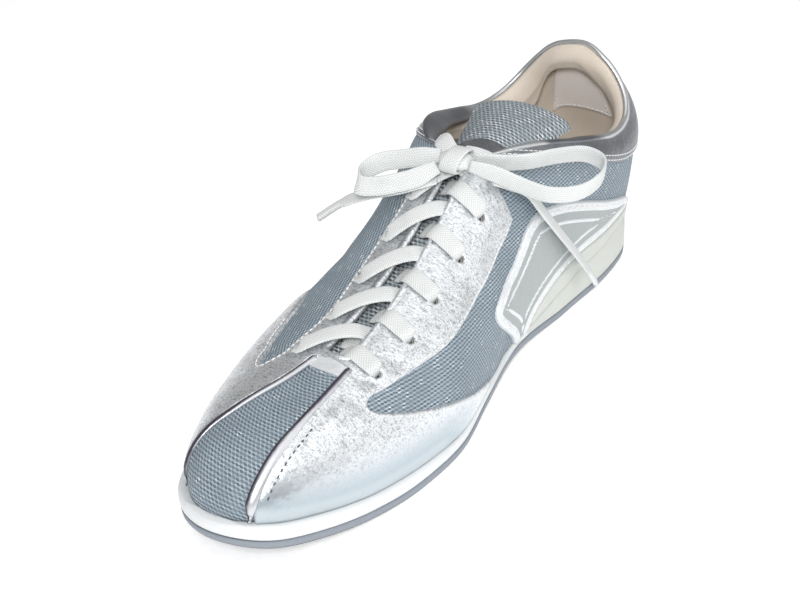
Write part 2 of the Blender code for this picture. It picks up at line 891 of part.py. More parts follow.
def build_panels(grid, punches):
    """Toe wings with eyestays, side patches, heel wedge and collar band."""
    lifted = grid + PANEL_LIFT * grid_normals(grid)
    half = COLLAR_COLUMNS + THROAT_COLUMNS + TOE_COLUMNS
    count = len(grid)
    lower = slice(0, LOWER_ROWS + 1)
    for side, label in ((1, "medial"), (-1, "lateral")):
        if side > 0:
            columns = list(range(COLLAR_COLUMNS, half + TOE_OVERLAP + 1))
            patch_columns = list(range(0, PATCH_COLUMNS))
        else:
            columns = list(range(half - TOE_OVERLAP, count - COLLAR_COLUMNS + 1))
            patch_columns = [c % count for c in range(count - PATCH_COLUMNS + 1, count + 1)]
        vamp = panel(f"vamp_panel_{label}", lifted, columns, slice(None), LEATHER_LOOK)
        outline = prism(f"vamp_outline_{label}", vamp_outline(side), "z", 0.0, PANEL_ABOVE)
        boolean(vamp, outline, "INTERSECT")
        boolean(vamp, window_cutter(side), "DIFFERENCE")
        boolean(vamp, punches, "DIFFERENCE")
        patch = panel(f"side_patch_{label}", lifted, patch_columns, lower, PATCH_LOOK)
        low, high = sorted((side * PANEL_INSIDE, side * PANEL_OUTSIDE))
        outline = prism(f"patch_outline_{label}", side_outline(SIDE_PATCH), "x", low, high)
        boolean(patch, outline, "INTERSECT")
    around = [c % count for c in range(-WEDGE_COLUMNS, WEDGE_COLUMNS + 1)]
    wedge = panel("heel_wedge", lifted, around, slice(0, WEDGE_ROWS), WEDGE_LOOK, WEDGE_THICKNESS)
    outline = side_outline(HEEL_WEDGE)
    boolean(wedge, prism("wedge_outline", outline, "x", -PANEL_OUTSIDE, PANEL_OUTSIDE), "INTERSECT")
    around = [c % count for c in range(-COLLAR_COLUMNS, COLLAR_COLUMNS + 1)]
    panel("collar_band", lifted, around, slice(LOWER_ROWS, None), BAND_LOOK)


def curve_points(columns, count):
    """Smooth evenly spaced path through table points."""
    points = np.column_stack([columns["x"], place(columns["distance"]), columns["z"]])
    knots = np.arange(len(points), dtype=float)
    at = np.linspace(0, knots[-1], 8 * count)
    path = np.column_stack([smooth(at, knots, points[:, axis]) for axis in range(3)])
    return resample(path, count)


def ribbon(name, path, faces_to, width, thickness, colour, roughness, metallic=0.0):
    """Flat strip swept along a path, its face turned to the given directions."""
    along = np.gradient(path, axis=0)
    across = np.cross(along, faces_to)
    across = across / np.linalg.norm(across, axis=1, keepdims=True)
    out = np.cross(across, along)
    out = out / np.linalg.norm(out, axis=1, keepdims=True)
    section = ((-0.5, 0.0), (-0.4, 0.5), (0.4, 0.5), (0.5, 0.0), (0.4, -0.5), (-0.4, -0.5))
    verts = []
    for point, side, lift in zip(path, across, out):
        for a, b in section:
            verts.append(point + a * width * side + b * thickness * lift)
    ring = len(section)
    faces = [tuple(range(ring)), tuple(range(len(verts) - 1, len(verts) - ring - 1, -1))]
    for i in range(len(path) - 1):
        for k in range(ring):
            n = (k + 1) % ring
            faces.append((i * ring + k, (i + 1) * ring + k, (i + 1) * ring + n, i * ring + n))
    item = tidy_normals(add_object(name, verts, faces, PARTS))
    return finish(item, colour, roughness, metallic)


def build_piping():
    """Raised strips along both edges of the toe strip."""
    distance = np.linspace(PIPING_START, PIPING_END, LACE_STEPS)
    for side, label, inset in (
        (1, "medial", PIPING_INSET_MEDIAL),
        (-1, "lateral", PIPING_INSET_LATERAL),
    ):
        offset = panel_edge(side, distance) - side * inset - ridge_at(place(distance))
        path, normal = over(distance, offset, PIPING_LIFT + PIPING_THICKNESS / 2)
        ribbon(f"toe_piping_{label}", path, normal, PIPING_WIDTH, PIPING_THICKNESS, *PIPING_LOOK)


def build_laces():
    """Bottom bar, crossings, and the knot with its loops and ends."""
    offset = np.linspace(-BAR_HALF, BAR_HALF, 5)
    path, normal = over(np.full(5, BAR_DISTANCE), offset, -BAR_DROP)
    ribbon("lace_bar_bottom", path, normal, LACE_WIDTH, LACE_THICKNESS, *LACE_LOOK)
    share = np.linspace(-1, 1, LACE_STEPS + 1)
    climb = smooth(share, LACE_CROSSING["share"], LACE_CROSSING["climb"])
    dip = smooth(share, LACE_CROSSING["share"], LACE_CROSSING["dip"])
    last = len(EYELETS["distance"])
    for index, (distance, medial, lateral) in enumerate(zip(*EYELETS.values()), 1):
        start = lateral + LACE_CLEAR
        offset = start + (share + 1) / 2 * (medial - LACE_CLEAR - start)
        run = distance - climb * (index < last)
        path, normal = over(run, offset, (LACE_LIFT - dip)[:, None])
        ribbon(f"lace_crossing_{index}", path, normal, LACE_WIDTH, LACE_THICKNESS, *LACE_LOOK)
    knot = add_object("lace_knot", [], [], PARTS)
    body = bmesh.new()
    x, distance, z = KNOT_CENTRE
    centre = Matrix.Translation((x, float(place(distance)), z))
    bmesh.ops.create_icosphere(
        body, subdivisions=2, radius=0.5, matrix=centre @ Matrix.Diagonal((*KNOT_SIZE, 1.0))
    )
    body.to_mesh(knot.data)
    body.free()
    finish(knot, *LACE_LOOK)
    strands = (
        ("lace_loop_medial", MEDIAL_LOOP, MEDIAL_FACE, True),
        ("lace_loop_lateral", LATERAL_LOOP, LATERAL_FACE, True),
        ("lace_end_medial", MEDIAL_END, MEDIAL_END_FACE, False),
        ("lace_end_lateral", LATERAL_END, LATERAL_END_FACE, False),
    )
    for name, columns, (fx, towards_toe, fz), on_edge in strands:
        path = curve_points(columns, LOOP_STEPS if on_edge else LACE_STEPS)
        face = np.broadcast_to((fx, -towards_toe, fz), path.shape)
        if on_edge:
            face = np.cross(face, np.gradient(path, axis=0))
        ribbon(name, path, face, LACE_WIDTH, LACE_THICKNESS, *LACE_LOOK)


def build_tongue():
    """Tongue held under the eyestays and free above the collar."""
    share = np.linspace(-1, 1, TONGUE_ACROSS + 1)
    grid = []
    for distance, top, half, droop in zip(*TONGUE.values()):
        y = place(np.full_like(share, distance))
        ridge = ridge_at(y)
        x = ridge + share * half
        held = dome(x, y)[:, 2] - TONGUE_CLEARANCE
        free = top - droop * share**2
        blend = np.clip((distance - TONGUE_FREE) / (TONGUE_HELD - TONGUE_FREE), 0, 1)
        grid.append(np.column_stack([x, y, free + (held - free) * blend]))
    grid = np.array(grid)[::-1]
    tongue = sheet("tongue", grid, closed=False)
    thicken(tongue, TONGUE_THICKNESS, -1.0)
    finish(tongue, (0.48, 0.55, 0.60), 0.8)


def main():
    """Build every part."""
    build_sole()
    grid = upper_grid()
    punches = eyelet_cutter()
    build_upper(grid, punches)
    build_tongue()
    build_panels(grid, punches)
    build_piping()
    build_laces()


main()
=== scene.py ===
"""Looks of a low lace-up sneaker for the right foot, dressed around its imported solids.

The toe points to -y, the heel stands at +y and the medial side is +x. Sizes are in metres.
Distances run from the back of the heel, and stations are shares of a length.
"""

from __future__ import annotations

import logging
import math
from dataclasses import dataclass, field
from enum import Enum
from functools import cache
from typing import Any, Callable, Iterable, Sequence

import bpy
import numpy as np
from mathutils import Matrix, Vector

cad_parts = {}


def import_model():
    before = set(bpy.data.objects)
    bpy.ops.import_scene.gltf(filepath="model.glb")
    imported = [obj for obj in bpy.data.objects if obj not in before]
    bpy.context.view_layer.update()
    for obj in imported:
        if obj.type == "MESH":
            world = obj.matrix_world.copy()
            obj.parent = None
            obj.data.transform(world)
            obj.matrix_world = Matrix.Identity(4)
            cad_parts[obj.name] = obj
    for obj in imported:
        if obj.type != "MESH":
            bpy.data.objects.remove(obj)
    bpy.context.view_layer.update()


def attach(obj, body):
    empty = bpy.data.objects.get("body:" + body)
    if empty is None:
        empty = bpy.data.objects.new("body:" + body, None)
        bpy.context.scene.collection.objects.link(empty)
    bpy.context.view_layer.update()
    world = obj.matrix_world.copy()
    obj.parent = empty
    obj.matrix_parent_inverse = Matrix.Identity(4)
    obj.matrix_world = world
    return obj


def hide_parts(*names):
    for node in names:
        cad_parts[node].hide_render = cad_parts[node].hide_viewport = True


LOG = logging.getLogger("sneaker")
Array = np.ndarray
Span = tuple[float, float]
Triple = tuple[float, float, float]
Colour = Triple
Rows = tuple[tuple[float, ...], ...]
Table = dict[str, Array]
Faces = list[tuple[int, ...]]
MM = 0.001
FINER = 8
EDGE_CUTS = (0.0, 0.12, 0.45, 1.0)
LEAST_SLOPE = 0.25
RIBBON_POWERS = (0.6, 0.8)
BODY = "root"
ORIGIN_OFFSET = np.array((0.0031, -0.0014, 0.0))


def columns(names: str, *rows: Sequence[float]) -> Table:
    """Turn rows of numbers into named columns.

    Args:
        names: Column names, split by spaces.
        rows: One row of numbers for each section.

    Returns:
        Each column as an array.
    """
    return dict(zip(names.split(), np.array(rows, float).T))


SOLE = columns(
    "station medial lateral",
    (0.0, 0.003, -0.003), (0.05, 0.0295, 0.0215), (0.15, 0.0342, 0.0292), (0.28, 0.032, 0.0332),
    (0.42, 0.0307, 0.0372), (0.55, 0.0368, 0.043), (0.65, 0.0425, 0.047), (0.74, 0.0412, 0.0474),
    (0.83, 0.036, 0.042), (0.91, 0.0284, 0.0315), (0.965, 0.0205, 0.0208), (1.0, 0.0, 0.0),
)
UPPER = columns(
    "station feather crown ridge square_medial square_lateral inset swell_medial swell_lateral",
    (0.0, 0.024, 0.106, 0.003, 3.2, 3.2, 0.0005, 0.005, 0.005),
    (0.14, 0.0205, 0.107, 0.003, 3.3, 3.3, 0.0008, 0.0045, 0.0045),
    (0.29, 0.0145, 0.099, 0.0035, 3.4, 3.2, 0.001, 0.0035, 0.004),
    (0.365, 0.0108, 0.0912, 0.0048, 3.2, 3.1, 0.001, 0.0032, 0.0015),
    (0.4, 0.0095, 0.0865, 0.0055, 3.0, 3.0, 0.0012, 0.003, 0.0),
    (0.493, 0.008, 0.073, 0.007, 2.6, 2.6, 0.0015, 0.003, -0.002),
    (0.576, 0.0076, 0.0622, 0.0078, 2.4, 2.3, 0.002, 0.0025, 0.0008),
    (0.655, 0.0078, 0.054, 0.0078, 2.3, 2.15, 0.0025, 0.002, 0.0028),
    (0.742, 0.0088, 0.048, 0.007, 2.3, 2.2, 0.0028, 0.0012, 0.0008),
    (0.817, 0.0102, 0.0446, 0.0058, 2.4, 2.3, 0.0028, 0.0008, -0.0005),
    (0.881, 0.013, 0.0418, 0.0036, 2.4, 2.5, 0.0028, 0.0006, -0.0008),
    (0.93, 0.016, 0.0385, 0.001, 2.4, 2.6, 0.0028, 0.0004, 0.0),
    (0.976, 0.0195, 0.0315, -0.0006, 2.4, 2.5, 0.002, 0.0, 0.0004),
    (1.0, 0.0215, 0.0215, 0.0, 2.4, 2.4, 0.0, 0.0, 0.0),
)
COLLAR = columns(
    "distance height",
    (0.0, 0.095), (0.006, 0.0945), (0.009, 0.0905), (0.012, 0.083), (0.016, 0.076), (0.021, 0.0712),
    (0.028, 0.0688), (0.038, 0.0692), (0.05, 0.0725), (0.063, 0.0765), (0.075, 0.0808), (0.088, 0.0845),
    (0.098, 0.0858), (0.106, 0.0856),
)
THROAT = columns(
    "distance half_gap",
    (0.11, 0.0042), (0.15, 0.0046), (0.185, 0.0054), (0.2, 0.0058),
)
EYELETS = columns(
    "distance medial lateral",
    (0.201, 0.0158, -0.0135), (0.182, 0.0168, -0.0122), (0.1634, 0.0155, -0.0122),
    (0.144, 0.015, -0.0122), (0.126, 0.0146, -0.0112), (0.109, 0.015, -0.0105),
)


class Side(Enum):
    """The two sides of the shoe, with the sign of x on each."""

    MEDIAL = 1
    LATERAL = -1

    @property
    def label(self) -> str:
        """Lower-case name."""
        return self.name.lower()


def smooth(at: Array, where: Array, value: Array) -> Array:
    """Smooth curve through table points.

    Args:
        at: Places to read.
        where: Places of the table's rows, rising.
        value: Values of the table's rows.

    Returns:
        The curve's values.
    """
    at = np.asarray(at, float)
    step = np.diff(where)
    rise = np.diff(value) / step
    slope = np.empty_like(value)
    slope[1:-1] = (rise[:-1] * step[1:] + rise[1:] * step[:-1]) / (step[:-1] + step[1:])
    slope[0], slope[-1] = rise[0], rise[-1]
    piece = np.clip(np.searchsorted(where, at) - 1, 0, len(where) - 2)
    u = np.clip((at - where[piece]) / step[piece], 0, 1)
    return (
        (1 + 2 * u) * (1 - u) ** 2 * value[piece]
        + u * (1 - u) ** 2 * step[piece] * slope[piece]
        + u * u * (3 - 2 * u) * value[piece + 1]
        + u * u * (u - 1) * step[piece] * slope[piece + 1]
    )


def ease(value: Array, low: float, high: float) -> Array:
    """Soft step from 0 at low to 1 at high."""
    t = np.clip((np.asarray(value, float) - low) / (high - low), 0, 1)
    return t * t * (3 - 2 * t)


def fade(value: Array, low: float, high: float) -> Array:
    """Soft step from 1 at low to 0 at high."""
    return 1 - ease(value, low, high)


def unit(vectors: Array) -> Array:
    """Vectors at unit length."""
    return vectors / np.maximum(np.linalg.norm(vectors, axis=-1, keepdims=True), 1e-12)


def run_of(path: Array) -> Array:
    """Length along a path up to each point."""
    return np.concatenate([[0.0], np.cumsum(np.linalg.norm(np.diff(path, axis=0), axis=1))])


def resample(path: Array, count: int) -> Array:
    """Evenly spaced points along a path.

    Args:
        path: Points in order.
        count: Number of spans.

    Returns:
        count + 1 points.
    """
    run = run_of(path)
    at = np.linspace(0, run[-1], count + 1)
    return np.column_stack([np.interp(at, run, path[:, k]) for k in range(path.shape[1])])


def in_zones(parts: Sequence[Array], zones: Sequence[int]) -> Array:
    """Paths joined end to end, each spread over its number of columns."""
    spread = [resample(part, count) for part, count in zip(parts, zones)]
    return np.concatenate([part[:-1] for part in spread] + [spread[-1][-1:]])


def curve_through(points: Array, count: int) -> Array:
    """Smooth evenly spaced path through points.

    Args:
        points: Given points.
        count: Number of spans.

    Returns:
        Points along the path.
    """
    knots = np.arange(len(points), dtype=float)
    at = np.linspace(0.0, knots[-1], FINER * count)
    path = np.column_stack([smooth(at, knots, points[:, k]) for k in range(points.shape[1])])
    return resample(path, count)


def inside_by(points: Array, outline: Array) -> Array:
    """Signed distance to a closed outline in its plane, positive inside.

    Args:
        points: Flat points.
        outline: Corners of the outline.

    Returns:
        One distance for each point.
    """
    best = np.full(len(points), np.inf)
    inside = np.zeros(len(points), bool)
    x, y = points[:, 0], points[:, 1]
    for a, b in zip(outline, np.roll(outline, -1, axis=0)):
        edge = b - a
        along = np.clip(((points - a) @ edge) / max(edge @ edge, 1e-18), 0, 1)
        best = np.minimum(best, np.linalg.norm(points - a - along[:, None] * edge, axis=1))
        if a[1] != b[1]:
            crosses = (a[1] > y) != (b[1] > y)
            inside ^= crosses & (x < a[0] + (y - a[1]) / (b[1] - a[1]) * edge[0])
    return np.where(inside, best, -best)


@dataclass(frozen=True)
class Last:
    """Form that the shoe is built on, shared by every piece."""

    length: float = 0.272
    heel_setback: float = 0.001
    toe_setback: float = 0.0035
    toe_spring: float = 0.0125
    spring_station: float = 0.735
    arch_lift: float = 0.0025
    arch_station: float = 0.43
    arch_reach: float = 0.16
    heel_round: float = 0.1
    heel_power: float = 2.6
    swell_centre: float = 0.036
    collar_foot: float = 0.098
    throat_foot: float = 0.2
    throat_bow: float = 0.003
    end_reach: float = 3.0
    normal_step: float = 1e-4
    column_power: int = 3
    path_steps: int = 400
    column_steps: int = 200

    @property
    def upper_length(self) -> float:
        """Length of the upper where it meets the sole."""
        return self.length - self.heel_setback - self.toe_setback

    @staticmethod
    def turn(station: Array) -> Array:
        """Angle that spreads stations so that both ends come out round."""
        return np.arccos(np.clip(1 - 2 * np.asarray(station, float), -1, 1))

    def sole_half(self, station: Array, side: Side) -> Array:
        """Half-width of the sole on one side."""
        return smooth(self.turn(station), self.turn(SOLE["station"]), SOLE[side.label])

    def floor(self, station: Array) -> Array:
        """Height of the tread, flat at the heel and the ball."""
        station = np.asarray(station, float)
        toe = np.clip((station - self.spring_station) / (1 - self.spring_station), 0, 1)
        arch = np.clip(1 - ((station - self.arch_station) / self.arch_reach) ** 2, 0, 1)
        return self.toe_spring * toe**2 + self.arch_lift * arch**2

    def place(self, distance: Array) -> Array:
        """Turn a distance from the heel into y."""
        return self.length / 2 - np.asarray(distance, float)

    def distance(self, points: Array) -> Array:
        """Distance of points from the back of the heel."""
        return self.length / 2 - points[:, 1]

    def sole_station(self, y: Array) -> Array:
        """Station along the sole for a y."""
        return np.clip(0.5 - y / self.length, 0, 1)

    def station_at(self, y: Array) -> Array:
        """Station along the upper for a y."""
        back = self.length / 2 - np.asarray(y, float) - self.heel_setback
        return np.clip(back / self.upper_length, 0, 1)

    def value(self, name: str, station: Array) -> Array:
        """One column of the upper's table at a station."""
        return smooth(self.turn(station), self.turn(UPPER["station"]), UPPER[name])

    def half(self, station: Array, side: Side) -> Array:
        """Half-width of the upper where it meets the sole."""
        ends = np.clip(self.end_reach * np.sin(self.turn(station)), 0, 1)
        return self.sole_half(station, side) - self.value("inset", station) * ends

    def height(self, station: Array) -> Array:
        """Height of the dome over the sole, rounded at the heel."""
        back = np.clip(1 - np.asarray(station) / self.heel_round, 0, 1)
        heel = (1 - back**self.heel_power) ** (1 / self.heel_power)
        return np.maximum(self.value("crown", station) - self.value("feather", station), 0) * heel

    def ridge(self, y: Array) -> Array:
        """x of the top line at a y."""
        return self.value("ridge", self.station_at(y))

    def dome(self, x: Array, y: Array) -> Array:
        """Points of the upper's outside above plan points."""
        x, y = np.asarray(x, float), np.asarray(y, float)
        station = self.station_at(y)
        ridge = self.value("ridge", station)
        medial = x >= ridge
        half = np.where(medial, self.half(station, Side.MEDIAL), self.half(station, Side.LATERAL))
        width = half - np.where(medial, ridge, -ridge)
        reach = np.clip(np.abs(x - ridge) / np.maximum(width, 1e-6), 0, 1)
        square, swell = (
            np.where(medial, self.value(f"{n}_medial", station), self.value(f"{n}_lateral", station))
            for n in ("square", "swell")
        )
        rise = (1 - reach**square) ** (1 / square)
        z = self.value("feather", station) + self.height(station) * rise
        amount = swell * np.sin(np.pi * rise)
        out_x, out_y = x - ridge, np.maximum(y - self.place(self.swell_centre), 0)
        away = np.maximum(np.hypot(out_x, out_y), 1e-6)
        return np.stack([x + amount * out_x / away, y + amount * out_y / away, z], -1)

    def over(self, distance: Array, offset: Array, lift: Array = 0.0) -> tuple[Array, Array]:
        """Points over the upper.

        Args:
            distance: Distances from the heel.
            offset: Offsets from the top line, medial positive.
            lift: Height along the outward normal.

        Returns:
            The points and their normals.
        """
        y = self.place(distance)
        x = self.ridge(y) + offset
        step = self.normal_step
        along = self.dome(x, y + step) - self.dome(x, y - step)
        across = self.dome(x + step, y) - self.dome(x - step, y)
        normal = unit(np.cross(across, along))
        return self.dome(x, y) + np.asarray(lift)[..., None] * normal, normal

    def feather_line(self, side: Side, zones: Sequence[int]) -> Array:
        """Plan points of the lower edge, heel to toe, spread over the three zones."""
        station = (1 - np.cos(np.linspace(0, np.pi, self.path_steps))) / 2
        distance = self.heel_setback + self.upper_length * station
        path = np.column_stack([side.value * self.half(station, side), self.place(distance)])
        first, second = np.searchsorted(distance, (self.collar_foot, self.throat_foot))
        parts = (path[: first + 1], path[first : second + 1], path[second:])
        return in_zones(parts, zones)

    def topline(self, side: Side, zones: Sequence[int]) -> Array:
        """Plan points of the collar, the throat's edge and its base on one side."""
        distance = np.linspace(self.heel_setback, COLLAR["distance"][-1], self.path_steps)
        station = self.station_at(self.place(distance))
        height = smooth(distance, COLLAR["distance"], COLLAR["height"])
        rise = (height - self.value("feather", station)) / np.maximum(self.height(station), 1e-6)
        square = self.value(f"square_{side.label}", station)
        reach = (1 - np.clip(rise, 0, 1) ** square) ** (1 / square)
        ridge = self.value("ridge", station)
        x = ridge + (side.value * self.half(station, side) - ridge) * reach
        collar = np.column_stack([x, self.place(distance)])[np.argmax(rise < 1) - 1 :]
        distance = np.linspace(THROAT["distance"][0], THROAT["distance"][-1], self.path_steps)
        gap = smooth(distance, THROAT["distance"], THROAT["half_gap"])
        y = self.place(distance)
        throat = np.column_stack([self.ridge(y) + side.value * gap, y])
        angle = np.linspace(0, np.pi / 2, self.path_steps)
        y = self.place(THROAT["distance"][-1] + self.throat_bow * np.sin(angle))
        base = np.column_stack([self.ridge(y) + side.value * gap[-1] * np.cos(angle), y])
        parts = (collar, np.concatenate([collar[-1:], throat]), base)
        return in_zones(parts, zones)

    def column(self, foot: Array, top: Array, rows: int) -> Array:
        """Evenly spaced points up one column of the upper."""
        share = np.linspace(0, 1, self.column_steps) ** self.column_power
        plan = foot + share[:, None] * (top - foot)
        path = self.dome(plan[:, 0], plan[:, 1])
        path[0] = (*foot, self.value("feather", self.station_at(foot[1])))
        return resample(path, rows - 1)

    def ring(self, zones: Sequence[int], rows: int) -> Array:
        """Ring of columns round the upper: medial heel to toe, lateral back to the heel.

        Args:
            zones: Columns along collar, throat and toe on one side.
            rows: Points up each column.

        Returns:
            Points by column and row.
        """
        halves = []
        for side in Side:
            pairs = zip(self.feather_line(side, zones), self.topline(side, zones))
            halves.append(np.array([self.column(foot, top, rows) for foot, top in pairs]))
        return np.concatenate([halves[0], halves[1][-2:0:-1]])


LAST = Last()


@dataclass
class Skin:
    """Triangles on a surface, with values that can be cut along their level lines."""

    points: Array
    normals: Array
    faces: Array
    fields: Table = field(default_factory=dict)

    @classmethod
    def from_grid(cls, grid: Array, closed: bool) -> Skin:
        """Skin over a grid of points.

        Args:
            grid: Points by column and row.
            closed: Whether the last column joins the first.

        Returns:
            The skin, its normals on the side of rows cross columns.
        """
        count, rows = grid.shape[:2]
        index = np.arange(count * rows).reshape(count, rows)
        here = index if closed else index[:-1]
        there = np.roll(index, -1, axis=0) if closed else index[1:]
        a, b = here[:, :-1].ravel(), here[:, 1:].ravel()
        c, d = there[:, 1:].ravel(), there[:, :-1].ravel()
        faces = np.concatenate([np.column_stack([a, b, c]), np.column_stack([a, c, d])])
        skin = cls(grid.reshape(-1, 3), np.zeros((count * rows, 3)), faces)
        skin.normals = skin.smooth_normals(skin.points)
        return skin

    def smooth_normals(self, points: Array) -> Array:
        """Vertex normals, weighted by area."""
        corner = points[self.faces]
        flat = np.cross(corner[:, 1] - corner[:, 0], corner[:, 2] - corner[:, 0])
        total = np.zeros_like(points)
        for k in range(3):
            np.add.at(total, self.faces[:, k], flat)
        return unit(total)

    def even(self, value: Array) -> Array:
        """Turn a value that crosses zero into a distance over the surface near its zero line."""
        corner, v = self.points[self.faces], value[self.faces]
        e1, e2 = corner[:, 1] - corner[:, 0], corner[:, 2] - corner[:, 0]
        g11, g12, g22 = (np.einsum("ij,ij->i", p, q) for p, q in ((e1, e1), (e1, e2), (e2, e2)))
        det = np.maximum(g11 * g22 - g12**2, 1e-24)
        d1, d2 = v[:, 1] - v[:, 0], v[:, 2] - v[:, 0]
        a, b = (g22 * d1 - g12 * d2) / det, (g11 * d2 - g12 * d1) / det
        steep = np.linalg.norm(a[:, None] * e1 + b[:, None] * e2, axis=1)
        area = np.sqrt(det)
        total, weight = np.zeros(len(value)), np.full(len(value), 1e-12)
        for k in range(3):
            np.add.at(total, self.faces[:, k], steep * area)
            np.add.at(weight, self.faces[:, k], area)
        return value / np.clip(total / weight, LEAST_SLOPE, 1.0)

    def split(self, name: str, level: float = 0.0) -> Skin:
        """Skin with points added where a field passes a level.

        Args:
            name: Field to follow.
            level: Its value on the line.

        Returns:
            The skin with every triangle on one side of the line.
        """
        value = self.fields[name] - level
        value = np.where(np.abs(value) < 1e-8, 1e-8, value)
        above = value > 0
        sides = above[self.faces].sum(1)
        mixed = (sides > 0) & (sides < 3)
        cut, sign = self.faces[mixed], above[self.faces[mixed]]
        odd = np.where(sign[:, 0] == sign[:, 1], 2, np.where(sign[:, 1] == sign[:, 2], 0, 1))
        cut = np.take_along_axis(cut, (odd[:, None] + np.arange(3)) % 3, 1)
        edges = np.sort(np.concatenate([cut[:, [0, 1]], cut[:, [0, 2]]]), axis=1)
        ends, which = np.unique(edges, axis=0, return_inverse=True)
        which = which.reshape(-1) + len(self.points)
        share = value[ends[:, 0]] / (value[ends[:, 0]] - value[ends[:, 1]])

        def joined(values: Array) -> Array:
            """Values with those of the new points after them."""
            t = share.reshape(-1, *([1] * (values.ndim - 1)))
            added = values[ends[:, 0]] + t * (values[ends[:, 1]] - values[ends[:, 0]])
            return np.concatenate([values, added])

        ab, ac = which[: len(cut)], which[len(cut) :]
        a, b, c = cut.T
        faces = [self.faces[~mixed]]
        faces += [np.column_stack(t) for t in ((a, ab, ac), (ab, b, c), (ab, c, ac))]
        fields = {key: joined(values) for key, values in self.fields.items()}
        return Skin(joined(self.points), unit(joined(self.normals)), np.concatenate(faces), fields)

    def keep(self, name: str, level: float = 0.0) -> Skin:
        """Skin of the triangles where a field lies above a level, once split there."""
        faces = self.faces[self.fields[name][self.faces].mean(1) > level]
        used, index = np.unique(faces, return_inverse=True)
        fields = {key: values[used] for key, values in self.fields.items()}
        return Skin(self.points[used], self.normals[used], index.reshape(-1, 3), fields)

    @staticmethod
    def edges(faces: Array) -> Array:
        """Three edges of every triangle, in its direction."""
        return np.concatenate([faces[:, [0, 1]], faces[:, [1, 2]], faces[:, [2, 0]]])

    def rim(self) -> Array:
        """Edges with one triangle, in the triangles' direction."""
        edges = self.edges(self.faces)
        key, count = np.unique(np.sort(edges, axis=1), axis=0, return_counts=True)
        single = {tuple(e) for e in key[count == 1].tolist()}
        kept = [e for e in edges.tolist() if (min(e), max(e)) in single]
        return np.array(kept, int).reshape(-1, 2)

    def lines(self, name: str, level: float) -> list[tuple[Array, Array]]:
        """Level lines of a field.

        Args:
            name: Field to follow.
            level: Its value on the line.

        Returns:
            Points and normals along each line.
        """
        part = self.split(name, level)
        first_new = len(self.points)
        edges = self.edges(part.faces[part.fields[name][part.faces].mean(1) > level])
        edges = edges[(edges >= first_new).all(1)]
        follow = {a: b for a, b in edges.tolist()}
        starts = [a for a in follow if a not in set(follow.values())]
        chains = []
        while follow:
            at = starts.pop() if starts else next(iter(follow))
            chain = [at]
            while at in follow:
                at = follow.pop(at)
                chain.append(at)
            chains.append((part.points[chain], part.normals[chain]))
        return [c for c in chains if len(c[0]) > 3]

    def slab(
        self, name: str, thickness: float, edge: float, sink: float = 0.3 * MM
    ) -> tuple[Array, Array, Table]:
        """Closed piece over the part of the skin where a field is positive, its edge rounded.

        Args:
            name: Field that is the distance from the edge.
            thickness: Height over the skin.
            edge: Width of the rounded edge.
            sink: Depth of the underside below the skin.

        Returns:
            Points, triangles and fields of the piece.
        """
        part = self
        for share in EDGE_CUTS:
            part = part.split(name, share * edge)
        part = part.keep(name)
        inner = np.clip(part.fields[name] / edge, 0, 1)
        lift = thickness * np.sqrt(np.maximum(1 - (1 - inner) ** 2, 0))
        return part.solid(part.points + lift[:, None] * part.normals, sink)

    def solid(self, top: Array, sink: float) -> tuple[Array, Array, Table]:
        """Close the space between a moved copy of the skin and its underside."""
        count = len(self.points)
        under = self.points - sink * self.normals
        a, b = self.rim().T
        faces = [self.faces, self.faces[:, ::-1] + count]
        faces += [np.column_stack([b, a, a + count]), np.column_stack([b, a + count, b + count])]
        fields = {key: np.concatenate([v, v]) for key, v in self.fields.items()}
        return np.concatenate([top, under]), np.concatenate(faces), fields


class Port:
    """A node's output that takes part in sums, so that masks read as formulas."""

    def __init__(self, shader: Shader, socket: bpy.types.NodeSocket) -> None:
        """Keep the socket and the shader that it belongs to."""
        self.shader = shader
        self.socket = socket

    def math(self, operation: str, *others: Port | float, first: Port | float | None = None) -> Port:
        """Add a Math node.

        Args:
            operation: Name of the sum.
            others: Further values.
            first: Value that comes before this port, for reflected sums.

        Returns:
            The node's output.
        """
        values = [self, *others] if first is None else [first, self, *others]
        sockets = dict(enumerate(values))
        return self.shader.node("ShaderNodeMath", {"operation": operation}, sockets)

    def __add__(self, other: Port | float) -> Port:
        """Sum."""
        return self.math("ADD", other)

    __radd__ = __add__

    def __sub__(self, other: Port | float) -> Port:
        """Difference."""
        return self.math("SUBTRACT", other)

    def __rsub__(self, other: Port | float) -> Port:
        """Difference from a number."""
        return self.math("SUBTRACT", first=other)

    def __mul__(self, other: Port | float) -> Port:
        """Product."""
        return self.math("MULTIPLY", other)

    __rmul__ = __mul__

    def __truediv__(self, other: Port | float) -> Port:
        """Quotient."""
        return self.math("DIVIDE", other)

    def __rtruediv__(self, other: Port | float) -> Port:
        """Quotient of a number."""
        return self.math("DIVIDE", first=other)

    def __pow__(self, other: Port | float) -> Port:
        """Power."""
        return self.math("POWER", other)

    def step(self, low: float, high: float) -> Port:
        """Soft step from 0 at low to 1 at high, falling where low is the higher."""
        sockets: dict[str, Any] = {"Value": self, "From Min": min(low, high), "From Max": max(low, high)}
        if low > high:
            sockets |= {"To Min": 1.0, "To Max": 0.0}
        return self.shader.node("ShaderNodeMapRange", {"interpolation_type": "SMOOTHSTEP"}, sockets)


